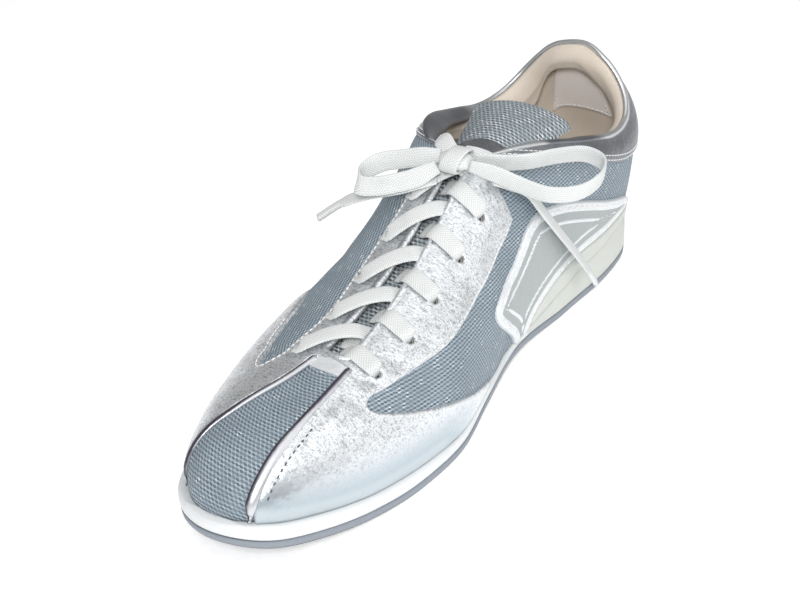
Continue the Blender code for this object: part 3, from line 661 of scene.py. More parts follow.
class Shader:
    """A material under construction, with one Principled shader."""

    def __init__(self, name: str) -> None:
        """Start an empty material."""
        self.material = bpy.data.materials.new(name)
        self.material.use_nodes = True
        self.tree = self.material.node_tree
        self.tree.nodes.clear()
        self.bsdf = self.tree.nodes.new("ShaderNodeBsdfPrincipled")
        output = self.tree.nodes.new("ShaderNodeOutputMaterial")
        self.tree.links.new(self.bsdf.outputs[0], output.inputs["Surface"])

    def node(
        self, kind: str, settings: dict[str, Any], sockets: dict[Any, Any], output: str | int = 0
    ) -> Port:
        """Add a node.

        Args:
            kind: Node type.
            settings: Properties, set first.
            sockets: Values or ports for its inputs, by name or number.
            output: Output to hand back.

        Returns:
            The output as a port.
        """
        made = self.tree.nodes.new(kind)
        for key, value in settings.items():
            setattr(made, key, value)
        for key, value in sockets.items():
            self.feed(made.inputs[key], value)
        return Port(self, made.outputs[output])

    def feed(self, socket: bpy.types.NodeSocket, value: Any) -> None:
        """Link a port to an input, or set the input's own value."""
        if isinstance(value, Port):
            self.tree.links.new(value.socket, socket)
        else:
            socket.default_value = value

    def value(self, name: str) -> Port:
        """Number stored on the mesh under a name."""
        return self.node("ShaderNodeAttribute", {"attribute_name": name}, {}, "Fac")

    def parts(self, name: str) -> tuple[Port, Port, Port]:
        """The three numbers of a vector stored on the mesh."""
        vector = self.node("ShaderNodeAttribute", {"attribute_name": name}, {}, "Vector")
        return tuple(self.node("ShaderNodeSeparateXYZ", {}, {0: vector}, axis) for axis in "XYZ")

    def place(self) -> Port:
        """Point on the object, in metres."""
        return self.node("ShaderNodeTexCoord", {}, {}, "Object")

    def noise(
        self, scale: float, detail: float = 3.0, rough: float = 0.55, squeeze: Triple = (1.0, 1.0, 1.0)
    ) -> Port:
        """Soft noise over the object.

        Args:
            scale: Features in a metre.
            detail: Octaves of finer noise.
            rough: Strength of the finer noise.
            squeeze: Factors on the place, below 1 where the noise runs long.

        Returns:
            The noise, around one half.
        """
        place = self.node(
            "ShaderNodeVectorMath", {"operation": "MULTIPLY"}, {0: self.place(), 1: squeeze}
        )
        sockets = {"Vector": place, "Scale": scale, "Detail": detail, "Roughness": rough}
        return self.node("ShaderNodeTexNoise", {}, sockets)

    def chance(self, x: Port, y: Port) -> Port:
        """Random number for each cell of two whole numbers."""
        vector = self.node("ShaderNodeCombineXYZ", {}, {0: x, 1: y})
        return self.node("ShaderNodeTexWhiteNoise", {"noise_dimensions": "2D"}, {0: vector})

    def mix(self, mask: Port | float, a: Port | Colour, b: Port | Colour) -> Port:
        """Colour a where the mask is 0 and b where it is 1."""
        sockets = {0: mask, 6: self.colour(a), 7: self.colour(b)}
        return self.node("ShaderNodeMix", {"data_type": "RGBA"}, sockets, 2)

    @staticmethod
    def colour(value: Port | Colour) -> Any:
        """Colour with its alpha, or the port as it is."""
        return value if isinstance(value, Port) else (*value, 1.0)

    def paint(self, values: dict[str, Any]) -> None:
        """Set or link the Principled shader's inputs by name."""
        for key, value in values.items():
            self.feed(self.bsdf.inputs[key], self.colour(value) if isinstance(value, tuple) else value)

    def bump(self, height: Port, distance: float, strength: float = 1.0) -> None:
        """Let a height in 0 to 1 shape the surface's shading."""
        sockets = {"Strength": strength, "Distance": distance, "Height": height}
        self.paint({"Normal": self.node("ShaderNodeBump", {}, sockets)})


@dataclass(frozen=True)
class Finish:
    """A surface finish that makes its own material once."""

    name: str

    @cache
    def material(self) -> bpy.types.Material:
        """The finish's material, made at its first use."""
        shader = Shader(self.name)
        self.dress(shader)
        return shader.material

    def dress(self, shader: Shader) -> None:
        """Lay the finish on a shader."""
        raise NotImplementedError


@dataclass(frozen=True)
class MeshCloth(Finish):
    """Knitted mesh of small cells in offset rows, with painted glints on a few cells."""

    thread: Colour
    hollow: Colour
    cell: Span
    glint: float = 0.0
    roughness: float = 0.7
    shine: Colour = (0.85, 0.88, 0.9)
    uneven: Span = (330.0, 400.0)
    wobble: float = 0.5
    skew: float = 0.7
    stretch: Span = (0.8, 1.3)
    slot_edge: Span = (0.95, 0.45)
    depth: float = 0.35 * MM
    wear: float = 0.2
    wear_scale: float = 70.0

    def dress(self, shader: Shader) -> None:
        """Lay the finish on a shader."""
        u, v, _ = shader.parts("weave")
        v = v / self.cell[1] + (shader.noise(self.uneven[1]) - 0.5) * self.wobble
        row = v.math("FLOOR")
        u = u / self.cell[0] + row * 0.5 + (shader.noise(self.uneven[0]) - 0.5) * self.wobble
        column = u.math("FLOOR")
        along = (v - row - 0.5) * 2.0
        across = (u - column - 0.5) * 2.0
        slant = across - along * self.skew
        away = (slant * slant * self.stretch[0] + along * along * self.stretch[1]).math("SQRT")
        slot = away.step(*self.slot_edge)
        luck = shader.chance(column, row)
        bright = tuple(min(1.0, 1.5 * c) for c in self.thread)
        thread = shader.mix(luck * away.step(0.6, 1.3), self.thread, bright)
        colour = shader.mix(slot * (0.55 + 0.45 * luck), thread, self.hollow)
        # painted glint: a few random cells take the bright shine colour near the thread's rim, with a
        # lower roughness
        painted_glint = luck.step(1.0 - self.glint, 1.0) * away.step(0.75, 1.15)
        worn = shader.noise(self.wear_scale).step(0.35, 0.75)
        colour = shader.mix(worn * self.wear, colour, self.hollow)
        shader.paint({
            "Base Color": shader.mix(painted_glint, colour, self.shine),
            "Roughness": self.roughness - painted_glint * 0.3,
        })
        shader.bump(slot, -self.depth, 0.8)


@dataclass(frozen=True)
class Leather(Finish):
    """Coated leather with a fine crinkle, specks and soft folds; its tint lays a painted bluish
    reflection where it is stretched smooth and painted light at its foot.
    """

    colour: Colour
    speck: Colour
    metallic: float
    roughness: float
    grain: float = 1900.0
    depth: float = 0.42 * MM
    # painted reflection: darker bluish colour where the leather is stretched smooth over the sole
    pulled: Colour = (0.4, 0.47, 0.52)
    # painted light: lighter colour at the wing's foot along the sole
    rubbed: Colour = (0.5, 0.56, 0.6)
    specks: float = 0.5
    crease_share: float = 0.45
    wave_share: float = 0.09
    foot_from: float = 0.85
    foot_dull: float = 0.75

    def dress(self, shader: Shader) -> None:
        """Lay the finish on a shader."""
        fine = shader.noise(self.grain, 3.0, 0.6, (0.6, 1.0, 1.0))
        crease = shader.noise(self.grain * self.crease_share, 4.0, 0.6, (0.4, 1.0, 1.0))
        wave = shader.noise(self.grain * self.wave_share, 3.0, 0.5)
        # share away from the smooth zone near the sole, where the crinkle and specks show
        worn = 1 - shader.value("tint")
        foot = (1 - worn).step(self.foot_from, 1.0)
        dots = fine.step(0.47, 0.66)
        mask = dots * 0.7 + crease.step(0.5, 0.66) * 0.6
        mask = mask.math("MINIMUM", 1.0) * worn * self.specks
        # painted reflection: towards the sole the colour turns darker and bluish
        sheen = shader.mix(1 - worn, self.colour, self.pulled)
        # painted light: the lowest margin is coloured lighter and made less metallic, so that it shows no
        # dark reflection along the sole
        sheen = shader.mix(foot, sheen, self.rubbed)
        shader.paint({
            "Base Color": shader.mix(mask, sheen, self.speck),
            "Roughness": self.roughness + dots * 0.1 + (wave - 0.5) * 0.15,
            "Metallic": self.metallic - foot * self.foot_dull * self.metallic,
        })
        height = (fine * 0.3 + crease * 0.6) * worn + wave * 1.6
        shader.bump(height, self.depth, 0.8)


@dataclass(frozen=True)
class Foil(Finish):
    """Rolled foil strip, painted bright on one side and dark on the other by its tint on the piping,
    silver against pewter by place on the collar rim.
    """

    bright: Colour
    dark: Colour
    roughness: float = 0.38
    metallic: float = 0.85
    crinkle: float = 900.0
    depth: float = 0.08 * MM

    def dress(self, shader: Shader) -> None:
        """Lay the finish on a shader."""
        # painted shade and highlight on the piping, where the tint follows each side's facing; on the
        # collar rim the tint sets silver against pewter
        flank = shader.value("tint") + (shader.noise(500.0) - 0.5) * 0.3
        shader.paint({
            "Base Color": shader.mix(flank.step(0.25, 0.8), self.bright, self.dark),
            "Roughness": self.roughness,
            "Metallic": self.metallic,
        })
        shader.bump(shader.noise(self.crinkle), self.depth, 0.5)


@dataclass(frozen=True)
class Rubber(Finish):
    """Moulded rubber or foam in two colours, the second laid by the tint."""

    colour: Colour
    second: Colour
    roughness: float = 0.5
    soil: Colour = (0.45, 0.42, 0.38)
    dirt: float = 0.15
    stain_scale: float = 45.0
    speck_scale: float = 900.0
    grain: float = 1400.0
    depth: float = 0.05 * MM

    def dress(self, shader: Shader) -> None:
        """Lay the finish on a shader."""
        base = shader.mix(shader.value("tint").step(0.0, 1.0), self.colour, self.second)
        stain = shader.noise(self.stain_scale, 6.0, 0.65).step(0.56, 0.78)
        specks = shader.noise(self.speck_scale, 2.0).step(0.66, 0.76)
        dirt = (stain + specks * 0.6).math("MINIMUM", 1.0) * self.dirt
        shader.paint({
            "Base Color": shader.mix(dirt, base, self.soil),
            "Roughness": self.roughness + stain * 0.15,
        })
        shader.bump(shader.noise(self.grain, 2.0), self.depth, 0.5)


@dataclass(frozen=True)
class Cloth(Finish):
    """Soft lining or footbed with a fine nap."""

    colour: Colour
    shade: Colour
    roughness: float = 0.85
    nap: float = 1200.0
    depth: float = 0.16 * MM
    sheen: float = 0.15
    wear_scale: float = 40.0

    def dress(self, shader: Shader) -> None:
        """Lay the finish on a shader."""
        fine = shader.noise(self.nap, 3.0)
        worn = shader.noise(self.wear_scale, 4.0).step(0.4, 0.75)
        shader.paint({
            "Base Color": shader.mix(worn * 0.4 + fine * 0.5, self.colour, self.shade),
            "Roughness": self.roughness,
            "Sheen Weight": self.sheen,
        })
        shader.bump(fine, self.depth, 0.6)


@dataclass(frozen=True)
class Braid(Finish):
    """Flat woven lace with slanted threads that meet in the middle, painted darker between the threads.
    """

    colour: Colour
    shade: Colour
    pitch: float = 1.1 * MM
    cord: float = 0.95 * MM
    slope: float = 0.9
    roughness: float = 0.75
    depth: float = 0.18 * MM
    wear_scale: float = 70.0

    def dress(self, shader: Shader) -> None:
        """Lay the finish on a shader."""
        u, v, _ = shader.parts("weave")
        slant = (v + u.math("ABSOLUTE") * self.slope) / self.pitch
        ridge = (slant * math.tau).math("SINE") * 0.5 + 0.5
        cord = (u / self.cord * math.tau).math("SINE") * 0.5 + 0.5
        height = ridge * 0.65 + cord * 0.35
        worn = shader.noise(self.wear_scale, 4.0).step(0.5, 0.8)
        # painted shade: darker where the weave's height is low, between the threads, with real wear from
        # the noise on top
        dark = (1 - height) * 0.62 + worn * 0.2
        colour = shader.mix(dark, self.colour, self.shade)
        shader.paint({"Base Color": colour, "Roughness": self.roughness})
        shader.bump(height, self.depth, 0.7)


@dataclass(frozen=True)
class Plain(Finish):
    """One colour with a little unevenness, for thread, the painted shade of stitch holes and the floor.
    """

    colour: Colour
    roughness: float = 0.6
    glow: float = 0.0
    uneven: float = 300.0
    darker: float = 0.92

    def dress(self, shader: Shader) -> None:
        """Lay the finish on a shader."""
        uneven = shader.noise(self.uneven, 2.0)
        shade = tuple(self.darker * c for c in self.colour)
        shader.paint({
            "Base Color": shader.mix(uneven.step(0.4, 0.7), self.colour, shade),
            "Roughness": self.roughness,
            "Emission Color": (1.0, 1.0, 1.0),
            "Emission Strength": self.glow,
        })


SILVER = Leather("crinkled_silver", (0.86, 0.88, 0.9), (0.3, 0.33, 0.36), 0.8, 0.34, specks=0.85)
PEWTER = Leather("pewter_leather", (0.24, 0.25, 0.27), (0.15, 0.16, 0.18), 0.75, 0.29, specks=0.45)
PATCH = Leather("patch_leather", (0.42, 0.45, 0.45), (0.32, 0.35, 0.36), 0.15, 0.55, specks=0.3)
BORDER = Leather("border_leather", (0.8, 0.82, 0.84), (0.55, 0.58, 0.6), 0.35, 0.4, specks=0.3)
UPPER_MESH = MeshCloth("upper_knit", (0.3, 0.36, 0.41), (0.1, 0.13, 0.16), (1.75 * MM, 1.4 * MM), 0.05)
TONGUE_MESH = MeshCloth("tongue_knit", (0.36, 0.41, 0.44), (0.08, 0.1, 0.12), (2 * MM, 1.6 * MM), 0.3)
LINING = Cloth("collar_lining", (0.78, 0.7, 0.6), (0.64, 0.55, 0.46))
SUEDE = Cloth("heel_suede", (0.96, 0.9, 0.86), (0.86, 0.79, 0.75), 0.9)
FOOTBED = Cloth("footbed_cloth", (0.56, 0.45, 0.34), (0.42, 0.33, 0.25), 0.9, 900.0, 0.12 * MM)
MIDSOLE = Rubber("midsole_foam", (0.76, 0.78, 0.79), (0.6, 0.62, 0.58), 0.5)
OUTSOLE = Rubber("outsole_rubber", (0.26, 0.29, 0.33), (0.06, 0.06, 0.07), 0.65, dirt=0.3)
LACE = Braid("lace_weave", (0.86, 0.88, 0.87), (0.44, 0.46, 0.46))
THREAD = Plain("white_thread", (0.86, 0.87, 0.87), 0.6)
# painted shade: dark cord laid where the toe seam's stitch holes are
STITCH_HOLE_SHADE = Plain("dark_thread", (0.1, 0.11, 0.12), 0.7)
PIPING = Foil("piping_foil", (0.66, 0.67, 0.7), (0.12, 0.11, 0.14))
RIM = Foil("collar_rim", (0.6, 0.61, 0.62), (0.2, 0.21, 0.23))
FLOOR = Plain("floor", (0.95, 0.95, 0.95), 0.8, glow=0.4)


def shown(name: str, data: bpy.types.ID) -> bpy.types.Object:
    """New object in the scene."""
    made = bpy.data.objects.new(name, data)
    bpy.context.scene.collection.objects.link(made)
    return made


@dataclass
class Piece:
    """One shown piece under construction, perhaps joined from several bodies."""

    name: str
    finish: Finish
    points: list[Array] = field(default_factory=list)
    faces: Faces = field(default_factory=list)
    weave: list[Array] = field(default_factory=list)
    tint: list[Array] = field(default_factory=list)

    def add(
        self,
        points: Array,
        faces: Iterable[Sequence[int]],
        weave: Array | None = None,
        tint: Array | None = None,
    ) -> Piece:
        """Join one body.

        Args:
            points: Its points on the last.
            faces: Its faces.
            weave: Cloth coordinates of each point.
            tint: Share of the second colour at each point.

        Returns:
            The piece.
        """
        base = sum(map(len, self.points))
        self.points.append(np.asarray(points, float))
        self.faces += [tuple(int(i) + base for i in face) for face in faces]
        count = len(points)
        self.weave.append(np.zeros((count, 3)) if weave is None else np.asarray(weave, float))
        self.tint.append(np.zeros(count) if tint is None else np.asarray(tint, float))
        return self

    def make(self, slot: str = "", nodes: Sequence[str] = ()) -> bpy.types.Object:
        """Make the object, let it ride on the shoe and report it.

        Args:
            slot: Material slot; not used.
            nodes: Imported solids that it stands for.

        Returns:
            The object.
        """
        mesh = bpy.data.meshes.new(self.name)
        mesh.from_pydata((np.concatenate(self.points) + ORIGIN_OFFSET).tolist(), [], self.faces)
        mesh.validate()
        weave = mesh.attributes.new("weave", "FLOAT_VECTOR", "POINT")
        weave.data.foreach_set("vector", np.concatenate(self.weave).ravel())
        tint = mesh.attributes.new("tint", "FLOAT", "POINT")
        tint.data.foreach_set("value", np.concatenate(self.tint))
        mesh.polygons.foreach_set("use_smooth", [True] * len(mesh.polygons))
        mesh.materials.append(self.finish.material())
        made = shown(self.name, mesh)
        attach(made, BODY)
        if nodes:
            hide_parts(*nodes)
        LOG.info("%s: %d triangles", self.name, sum(len(face) - 2 for face in self.faces))
        return made


def sweep(sections: Array, closed: bool = False) -> Faces:
    """Faces of a tube through rings of points.

    Args:
        sections: Points by ring and place in the ring.
        closed: Whether the last ring joins the first.

    Returns:
        Faces, with end caps where the tube is open.
    """
    count, around = sections.shape[:2]
    faces = []
    for i in range(count if closed else count - 1):
        n = (i + 1) % count
        for k in range(around):
            m = (k + 1) % around
            faces.append((i * around + k, i * around + m, n * around + m, n * around + k))
    if not closed:
        faces.append(tuple(range(around))[::-1])
        faces.append(tuple((count - 1) * around + k for k in range(around)))
    return faces


def frames(path: Array, facing: Array) -> tuple[Array, Array]:
    """Directions along a path.

    Args:
        path: Points in order.
        facing: Rough direction of the face at each point.

    Returns:
        Directions across and face normals.
    """
    tangent = unit(np.gradient(path, axis=0))
    across = unit(np.cross(tangent, facing))
    return across, np.cross(across, tangent)


def ribbon(
    path: Array, facing: Array, width: Array | float, thickness: Array | float, around: int = 16
) -> tuple[Array, Faces, Array]:
    """Flat cord with rounded edges along a path.

    Args:
        path: Centre points.
        facing: Rough direction of its flat face.
        width: Width at each point.
        thickness: Thickness at each point.
        around: Points round a section.

    Returns:
        Points, faces and cloth coordinates.
    """
    across, normal = frames(path, facing)
    angle = -np.arange(around) * math.tau / around
    side, rise = (
        np.sign(wave) * np.abs(wave) ** power
        for wave, power in zip((np.cos(angle), np.sin(angle)), RIBBON_POWERS)
    )
    half = np.broadcast_to(np.asarray(width, float) / 2, len(path))
    deep = np.broadcast_to(np.asarray(thickness, float) / 2, len(path))
    ring = (
        path[:, None]
        + (half[:, None] * side)[..., None] * across[:, None]
        + (deep[:, None] * rise)[..., None] * normal[:, None]
    )
    weave = np.zeros((len(path), around, 3))
    weave[..., 0] = half[:, None] * side
    weave[..., 1] = run_of(path)[:, None]
    return ring.reshape(-1, 3), sweep(ring), weave.reshape(-1, 3)


PANEL_EDGE = columns(
    "distance medial lateral",
    (0.206, 0.0154, -0.0002), (0.219, 0.0151, -0.004), (0.229, 0.0147, -0.0086),
    (0.238, 0.0147, -0.0128), (0.247, 0.0143, -0.0172), (0.255, 0.0142, -0.0196),
    (0.264, 0.0142, -0.02), (0.28, 0.015, -0.02),
)
WINDOW_MEDIAL = columns(
    "distance height",
    (0.2132, 0.0388), (0.2095, 0.0406), (0.2044, 0.0402), (0.1873, 0.0412), (0.1774, 0.0416),
    (0.1668, 0.0426), (0.1474, 0.0472), (0.1306, 0.054), (0.1177, 0.0597), (0.107, 0.0674),
    (0.09, 0.0674), (0.09, -0.02), (0.138, -0.02), (0.139, 0.0), (0.14, 0.007), (0.15, 0.0115),
    (0.1639, 0.0178), (0.174, 0.0226), (0.1835, 0.0257), (0.1926, 0.0287), (0.2037, 0.0328),
    (0.2109, 0.0361),
)
WINDOW_LATERAL = columns(
    "x distance",
    (-0.0186, 0.2155), (-0.0138, 0.208), (-0.0118, 0.198), (-0.009, 0.186), (-0.0097, 0.165),
    (-0.0088, 0.146), (-0.0078, 0.127), (-0.0078, 0.09), (-0.07, 0.09), (-0.07, 0.148), (-0.044, 0.15),
    (-0.038, 0.158), (-0.032, 0.166), (-0.028, 0.176), (-0.0267, 0.1862), (-0.0246, 0.198),
    (-0.022, 0.2083),
)
SIDE_PATCH = columns(
    "distance height",
    (0.02, 0.0276), (0.02, 0.032), (0.045, 0.0416), (0.0625, 0.0498), (0.082, 0.0578), (0.097, 0.0605),
    (0.1045, 0.058), (0.1135, 0.0496), (0.1245, 0.0437), (0.1355, 0.0395), (0.1388, 0.0355),
    (0.136, 0.0298), (0.128, 0.0225), (0.117, 0.012), (0.114, 0.0), (0.1078, 0.0), (0.1048, 0.012),
    (0.0957, 0.0188), (0.0838, 0.024), (0.069, 0.0266),
)
HEEL_WEDGE = columns(
    "distance height",
    (-0.03, 0.0262), (0.04, 0.0262), (0.0686, 0.0254), (0.083, 0.0228), (0.0949, 0.0177),
    (0.104, 0.0112), (0.1068, 0.0), (0.1068, -0.02), (-0.03, -0.02),
)
COLLAR_BAND = columns(
    "distance height",
    (0.112, 0.0862), (0.1059, 0.085), (0.0975, 0.082), (0.0846, 0.0771), (0.0701, 0.0702),
    (0.0511, 0.062), (0.0347, 0.0556), (0.02, 0.0535), (0.0, 0.053), (-0.03, 0.053), (-0.03, 0.12),
    (0.112, 0.12),
)
CREASES = columns(
    "x0 d0 x1 d1 depth width",
    (-0.008, 0.212, 0.012, 0.214, 0.0005, 0.003), (-0.012, 0.224, 0.011, 0.225, 0.0004, 0.0035),
    (0.016, 0.208, 0.032, 0.202, 0.0007, 0.003), (0.018, 0.217, 0.034, 0.211, 0.0006, 0.0032),
    (0.02, 0.196, 0.034, 0.188, 0.0005, 0.003), (0.017, 0.227, 0.031, 0.225, -0.0004, 0.0035),
    (0.0185, 0.208, 0.0175, 0.242, 0.0011, 0.003), (-0.01, 0.208, -0.03, 0.202, 0.0007, 0.003),
    (-0.014, 0.219, -0.034, 0.212, 0.0006, 0.0034), (0.028, 0.15, 0.036, 0.142, 0.0006, 0.004),
    (0.027, 0.13, 0.035, 0.12, 0.0005, 0.004), (-0.026, 0.15, -0.04, 0.142, 0.0006, 0.004),
    (0.024, 0.07, 0.031, 0.056, 0.0006, 0.005), (0.02, 0.045, 0.03, 0.04, 0.0005, 0.005),
)


def rounded(outline: Array, rounds: int = 3) -> Array:
    """Closed outline with its corners cut soft."""
    for _ in range(rounds):
        after = np.roll(outline, -1, axis=0)
        outline = np.stack([0.75 * outline + 0.25 * after, 0.25 * outline + 0.75 * after], 1)
        outline = outline.reshape(-1, 2)
    return outline


def outline_of(table: Table) -> Array:
    """Rounded outline of a table's first two columns."""
    return rounded(np.column_stack(list(table.values())[:2]))


@dataclass
class Upper:
    """Hollow wall of the shoe: mesh outside, padded lining inside, rolled edges on top."""

    zones: tuple[int, int, int] = (84, 100, 52)
    rows: int = 64
    cloth: float = 0.8 * MM
    eyelet_radius: float = 1.5 * MM
    collar_pad: float = 0.7 * MM
    pad_depth: float = 10 * MM
    pad_reach: float = 7 * MM
    thin_wall: float = 2 * MM
    padding: float = 6 * MM
    pad_rise: float = 6 * MM
    back_squeeze: float = 0.8
    rim_lean: float = 3 * MM
    heel_rise: float = 2 * MM
    heel_columns: int = 8
    heel_bow: float = 0.55
    tail_taper: float = 0.92
    lean_reach: float = 13 * MM
    pad_fall: Span = (15 * MM, 19 * MM)
    roll_lift: float = 1.5 * MM
    roll_height: float = 1.3 * MM
    roll_wall: float = 0.9 * MM
    front_roll: float = 7.5 * MM
    front_from: Span = (0.032, 0.062)
    front_to: Span = (0.112, 0.118)
    front_swell: float = 0.9 * MM
    roll_skirt: float = 1.5 * MM
    roll_steps: int = 13
    roll_silver: Span = (0.078, 0.09)
    strip_from: float = 0.2005
    strip_margin: float = 4 * MM
    strip_height: float = 0.02
    collar_fade: tuple[int, int] = (-6, 10)
    crease_end: float = 0.02
    lean_side: Span = (4 * MM, 18 * MM)
    lean_fall: Span = (0.055, 0.085)
    peak_centre: float = 8 * MM
    peak_width: float = 14 * MM
    peak_fall: Span = (0.02, 0.05)
    peak_depth: float = 24 * MM
    far: float = 0.02
    side_overlap: float = 0.012
    tail_x: Span = (-0.024, -0.018)
    tail_run: Span = (0.168, 0.195)
    wing_run: Span = (0.1125, 0.2046)
    wing_steps: int = 12
    wing_out: float = 0.09
    back_half: Span = (10 * MM, 20 * MM)
    heel_zone: float = 0.05
    lining_gap: float = 0.1 * MM
    heel_centre: float = 0.003
    heel_patch_rise: float = 0.9 * MM
    heel_patch_edge: float = 1 * MM
    heel_patch_seam: float = 1.6 * MM
    throat_base_outline: Rows = (
        (-0.006, 0.196), (0.021, 0.196), (0.0185, 0.21), (0.0075, 0.2108), (-0.006, 0.2092),
    )
    heel_patch_outline: Rows = (
        (-0.0125, 0.0115), (0.009, 0.0115), (0.015, 0.0325), (-0.0165, 0.0325),
    )

    def __post_init__(self) -> None:
        """Work out the skin and its fields."""
        self.grid = self.round_heel(LAST.ring(self.zones, self.rows))
        self.skin = Skin.from_grid(self.grid, closed=True)
        self.measure()
        self.fold()
        self.draw_outlines()

    def round_heel(self, grid: Array) -> Array:
        """Bow the columns at the middle of the heel into one smooth round.

        Args:
            grid: Points by column and row, the first column at the middle of the heel.

        Returns:
            The grid with its heel columns moved.
        """
        half, count = self.heel_columns, len(grid)
        index = np.arange(-half, half + 1) % count
        first, last = grid[index[0]], grid[index[-1]]
        reach = 2 * half * self.heel_bow
        leave = (first - grid[(-half - 1) % count]) * reach
        arrive = (grid[half + 1] - last) * reach
        t = np.linspace(0, 1, 2 * half + 1)[:, None, None]
        bow = (2 * t**3 - 3 * t**2 + 1) * first + (3 * t**2 - 2 * t**3) * last
        bow = bow + (t**3 - 2 * t**2 + t) * leave + (t**3 - t**2) * arrive
        grid = grid.copy()
        grid[index] = bow
        return grid

    @property
    def collar_columns(self) -> Array:
        """Columns along the collar, from the medial front round the heel to the lateral front."""
        return np.arange(-self.zones[0] - 1, self.zones[0] + 2) % len(self.grid)

    @property
    def throat_columns(self) -> Array:
        """Columns along the throat, from the medial top round its base to the lateral top."""
        return np.arange(self.zones[0], len(self.grid) - self.zones[0] + 1)

    def measure(self) -> None:
        """Store distances, heights and cloth coordinates as fields."""
        count = len(self.grid)
        step = np.linalg.norm(np.diff(self.grid, axis=1), axis=2)
        up = np.concatenate([np.zeros((count, 1)), np.cumsum(step, axis=1)], axis=1)
        middle = self.grid[:, self.rows // 2]
        hop = np.linalg.norm(middle - np.roll(middle, 1, axis=0), axis=1)
        hop[0] = 0
        around = np.repeat(np.cumsum(hop)[:, None], self.rows, axis=1)
        x, y, z = self.skin.points.T
        fields = self.skin.fields
        fields["distance"] = LAST.distance(self.skin.points)
        fields["x"], fields["z"] = x.copy(), z.copy()
        fields["offset"] = x - LAST.ridge(y)
        fields["up"], fields["down"] = up.ravel(), (up[:, -1:] - up).ravel()
        medial, lateral = (
            np.interp(fields["distance"], PANEL_EDGE["distance"], PANEL_EDGE[each.label]) for each in Side
        )
        strip = (x > lateral - self.strip_margin) & (x < medial + self.strip_margin)
        strip &= (fields["distance"] > self.strip_from) & (z > self.strip_height)
        fields["u"] = np.where(strip, x, around.ravel())
        fields["v"] = np.where(strip, fields["down"], up.ravel())
        index = np.arange(count)
        ends = (self.zones[0] + each for each in self.collar_fade)
        collar = fade(np.minimum(index, count - index), *ends)
        self.collar = np.repeat(collar[:, None], self.rows, axis=1).ravel()

    def fold(self) -> None:
        """Press the listed creases and the collar's padding into the skin."""
        fields = self.skin.fields
        plan = np.column_stack([fields["x"], fields["distance"]])
        shift = np.zeros(len(plan))
        for x0, d0, x1, d1, depth, width in zip(*CREASES.values()):
            start, run = np.array((x0, d0)), np.array((x1 - x0, d1 - d0))
            along = (plan - start) @ run / (run @ run)
            clear = np.linalg.norm(plan - start - np.clip(along, 0, 1)[:, None] * run, axis=1)
            taper = np.sin(np.pi * np.clip(along, self.crease_end, 1 - self.crease_end)) ** 0.5
            shift -= depth * taper * np.exp(-((clear / width) ** 2))
        pad = np.exp(-(((fields["down"] - self.pad_depth) / self.pad_reach) ** 2))
        shift += self.collar_pad * pad * self.collar
        lean = fade(fields["down"], 0.0, self.lean_reach) * self.collar
        lean *= ease(fields["x"], *self.lean_side)
        shift -= self.rim_lean * lean * fade(fields["distance"], *self.lean_fall)
        self.skin.points = self.skin.points + shift[:, None] * self.skin.normals
        peak = np.exp(-(((fields["x"] - self.peak_centre) / self.peak_width) ** 2))
        peak = peak * fade(fields["distance"], *self.peak_fall)
        self.skin.points[:, 2] += self.heel_rise * peak * fade(fields["down"], 0.0, self.peak_depth)
        self.skin.normals = self.skin.smooth_normals(self.skin.points)

    def draw_outlines(self) -> None:
        """Store the distance to every panel's outline as a field."""
        skin, fields = self.skin, self.skin.fields
        side = np.column_stack([fields["distance"], fields["z"]])
        plan = np.column_stack([fields["x"], fields["distance"]])
        holes = np.full(len(plan), np.inf)
        for distance, medial, lateral in zip(*EYELETS.values()):
            for offset in (medial, lateral):
                centre, _ = LAST.over(np.array(distance), np.array(offset))
                holes = np.minimum(holes, np.linalg.norm(skin.points - centre, axis=1))
        fields["eyelet"] = np.minimum(holes - self.eyelet_radius, self.far)
        windows = {
            Side.MEDIAL: skin.even(-inside_by(side, outline_of(WINDOW_MEDIAL))),
            Side.LATERAL: skin.even(-inside_by(plan, outline_of(WINDOW_LATERAL))),
        }
        patch = skin.even(inside_by(side, outline_of(SIDE_PATCH)))
        for each in Side:
            name, sign = each.label, each.value
            edge = skin.even(inside_by(plan, self.wing_outline(each)))
            here = fields["offset"] * sign > -self.side_overlap
            fields[f"inner_{name}"] = np.where(here, edge, -self.far)
            fields[f"window_{name}"] = np.where(here, windows[each], self.far)
            tail = fade(fields["x"], *self.tail_x) * fade(fields["distance"], *self.tail_run)
            window = fields[f"window_{name}"] * (1 - self.tail_taper * tail)
            wing = np.minimum(fields[f"inner_{name}"], window)
            fields[f"vamp_{name}"] = np.minimum(wing, fields["eyelet"])
            fields[f"patch_{name}"] = np.where(fields["offset"] * sign > 0, patch, -self.far)
        fields["wedge"] = skin.even(inside_by(side, outline_of(HEEL_WEDGE)))
        fields["band"] = skin.even(inside_by(side, outline_of(COLLAR_BAND)))
        base = skin.even(inside_by(plan, rounded(np.array(self.throat_base_outline), 2)))
        fields["throat_base"] = np.minimum(base, fields["eyelet"])

    def wing_outline(self, side: Side) -> Array:
        """Plan outline of the toe wing and eyestay on one side."""
        out = side.value * self.wing_out
        throat = np.linspace(*self.wing_run, self.wing_steps)
        inner = [(float(LAST.ridge(LAST.place(d))), d) for d in throat]
        inner += list(zip(PANEL_EDGE[side.label], PANEL_EDGE["distance"]))
        return np.array(inner + [(out, PANEL_EDGE["distance"][-1]), (out, self.wing_run[0])])

    @staticmethod
    def weave_of(fields: Table) -> Array:
        """Cloth coordinates from a skin's fields."""
        return np.column_stack([fields["u"], fields["v"], np.zeros(len(fields["u"]))])

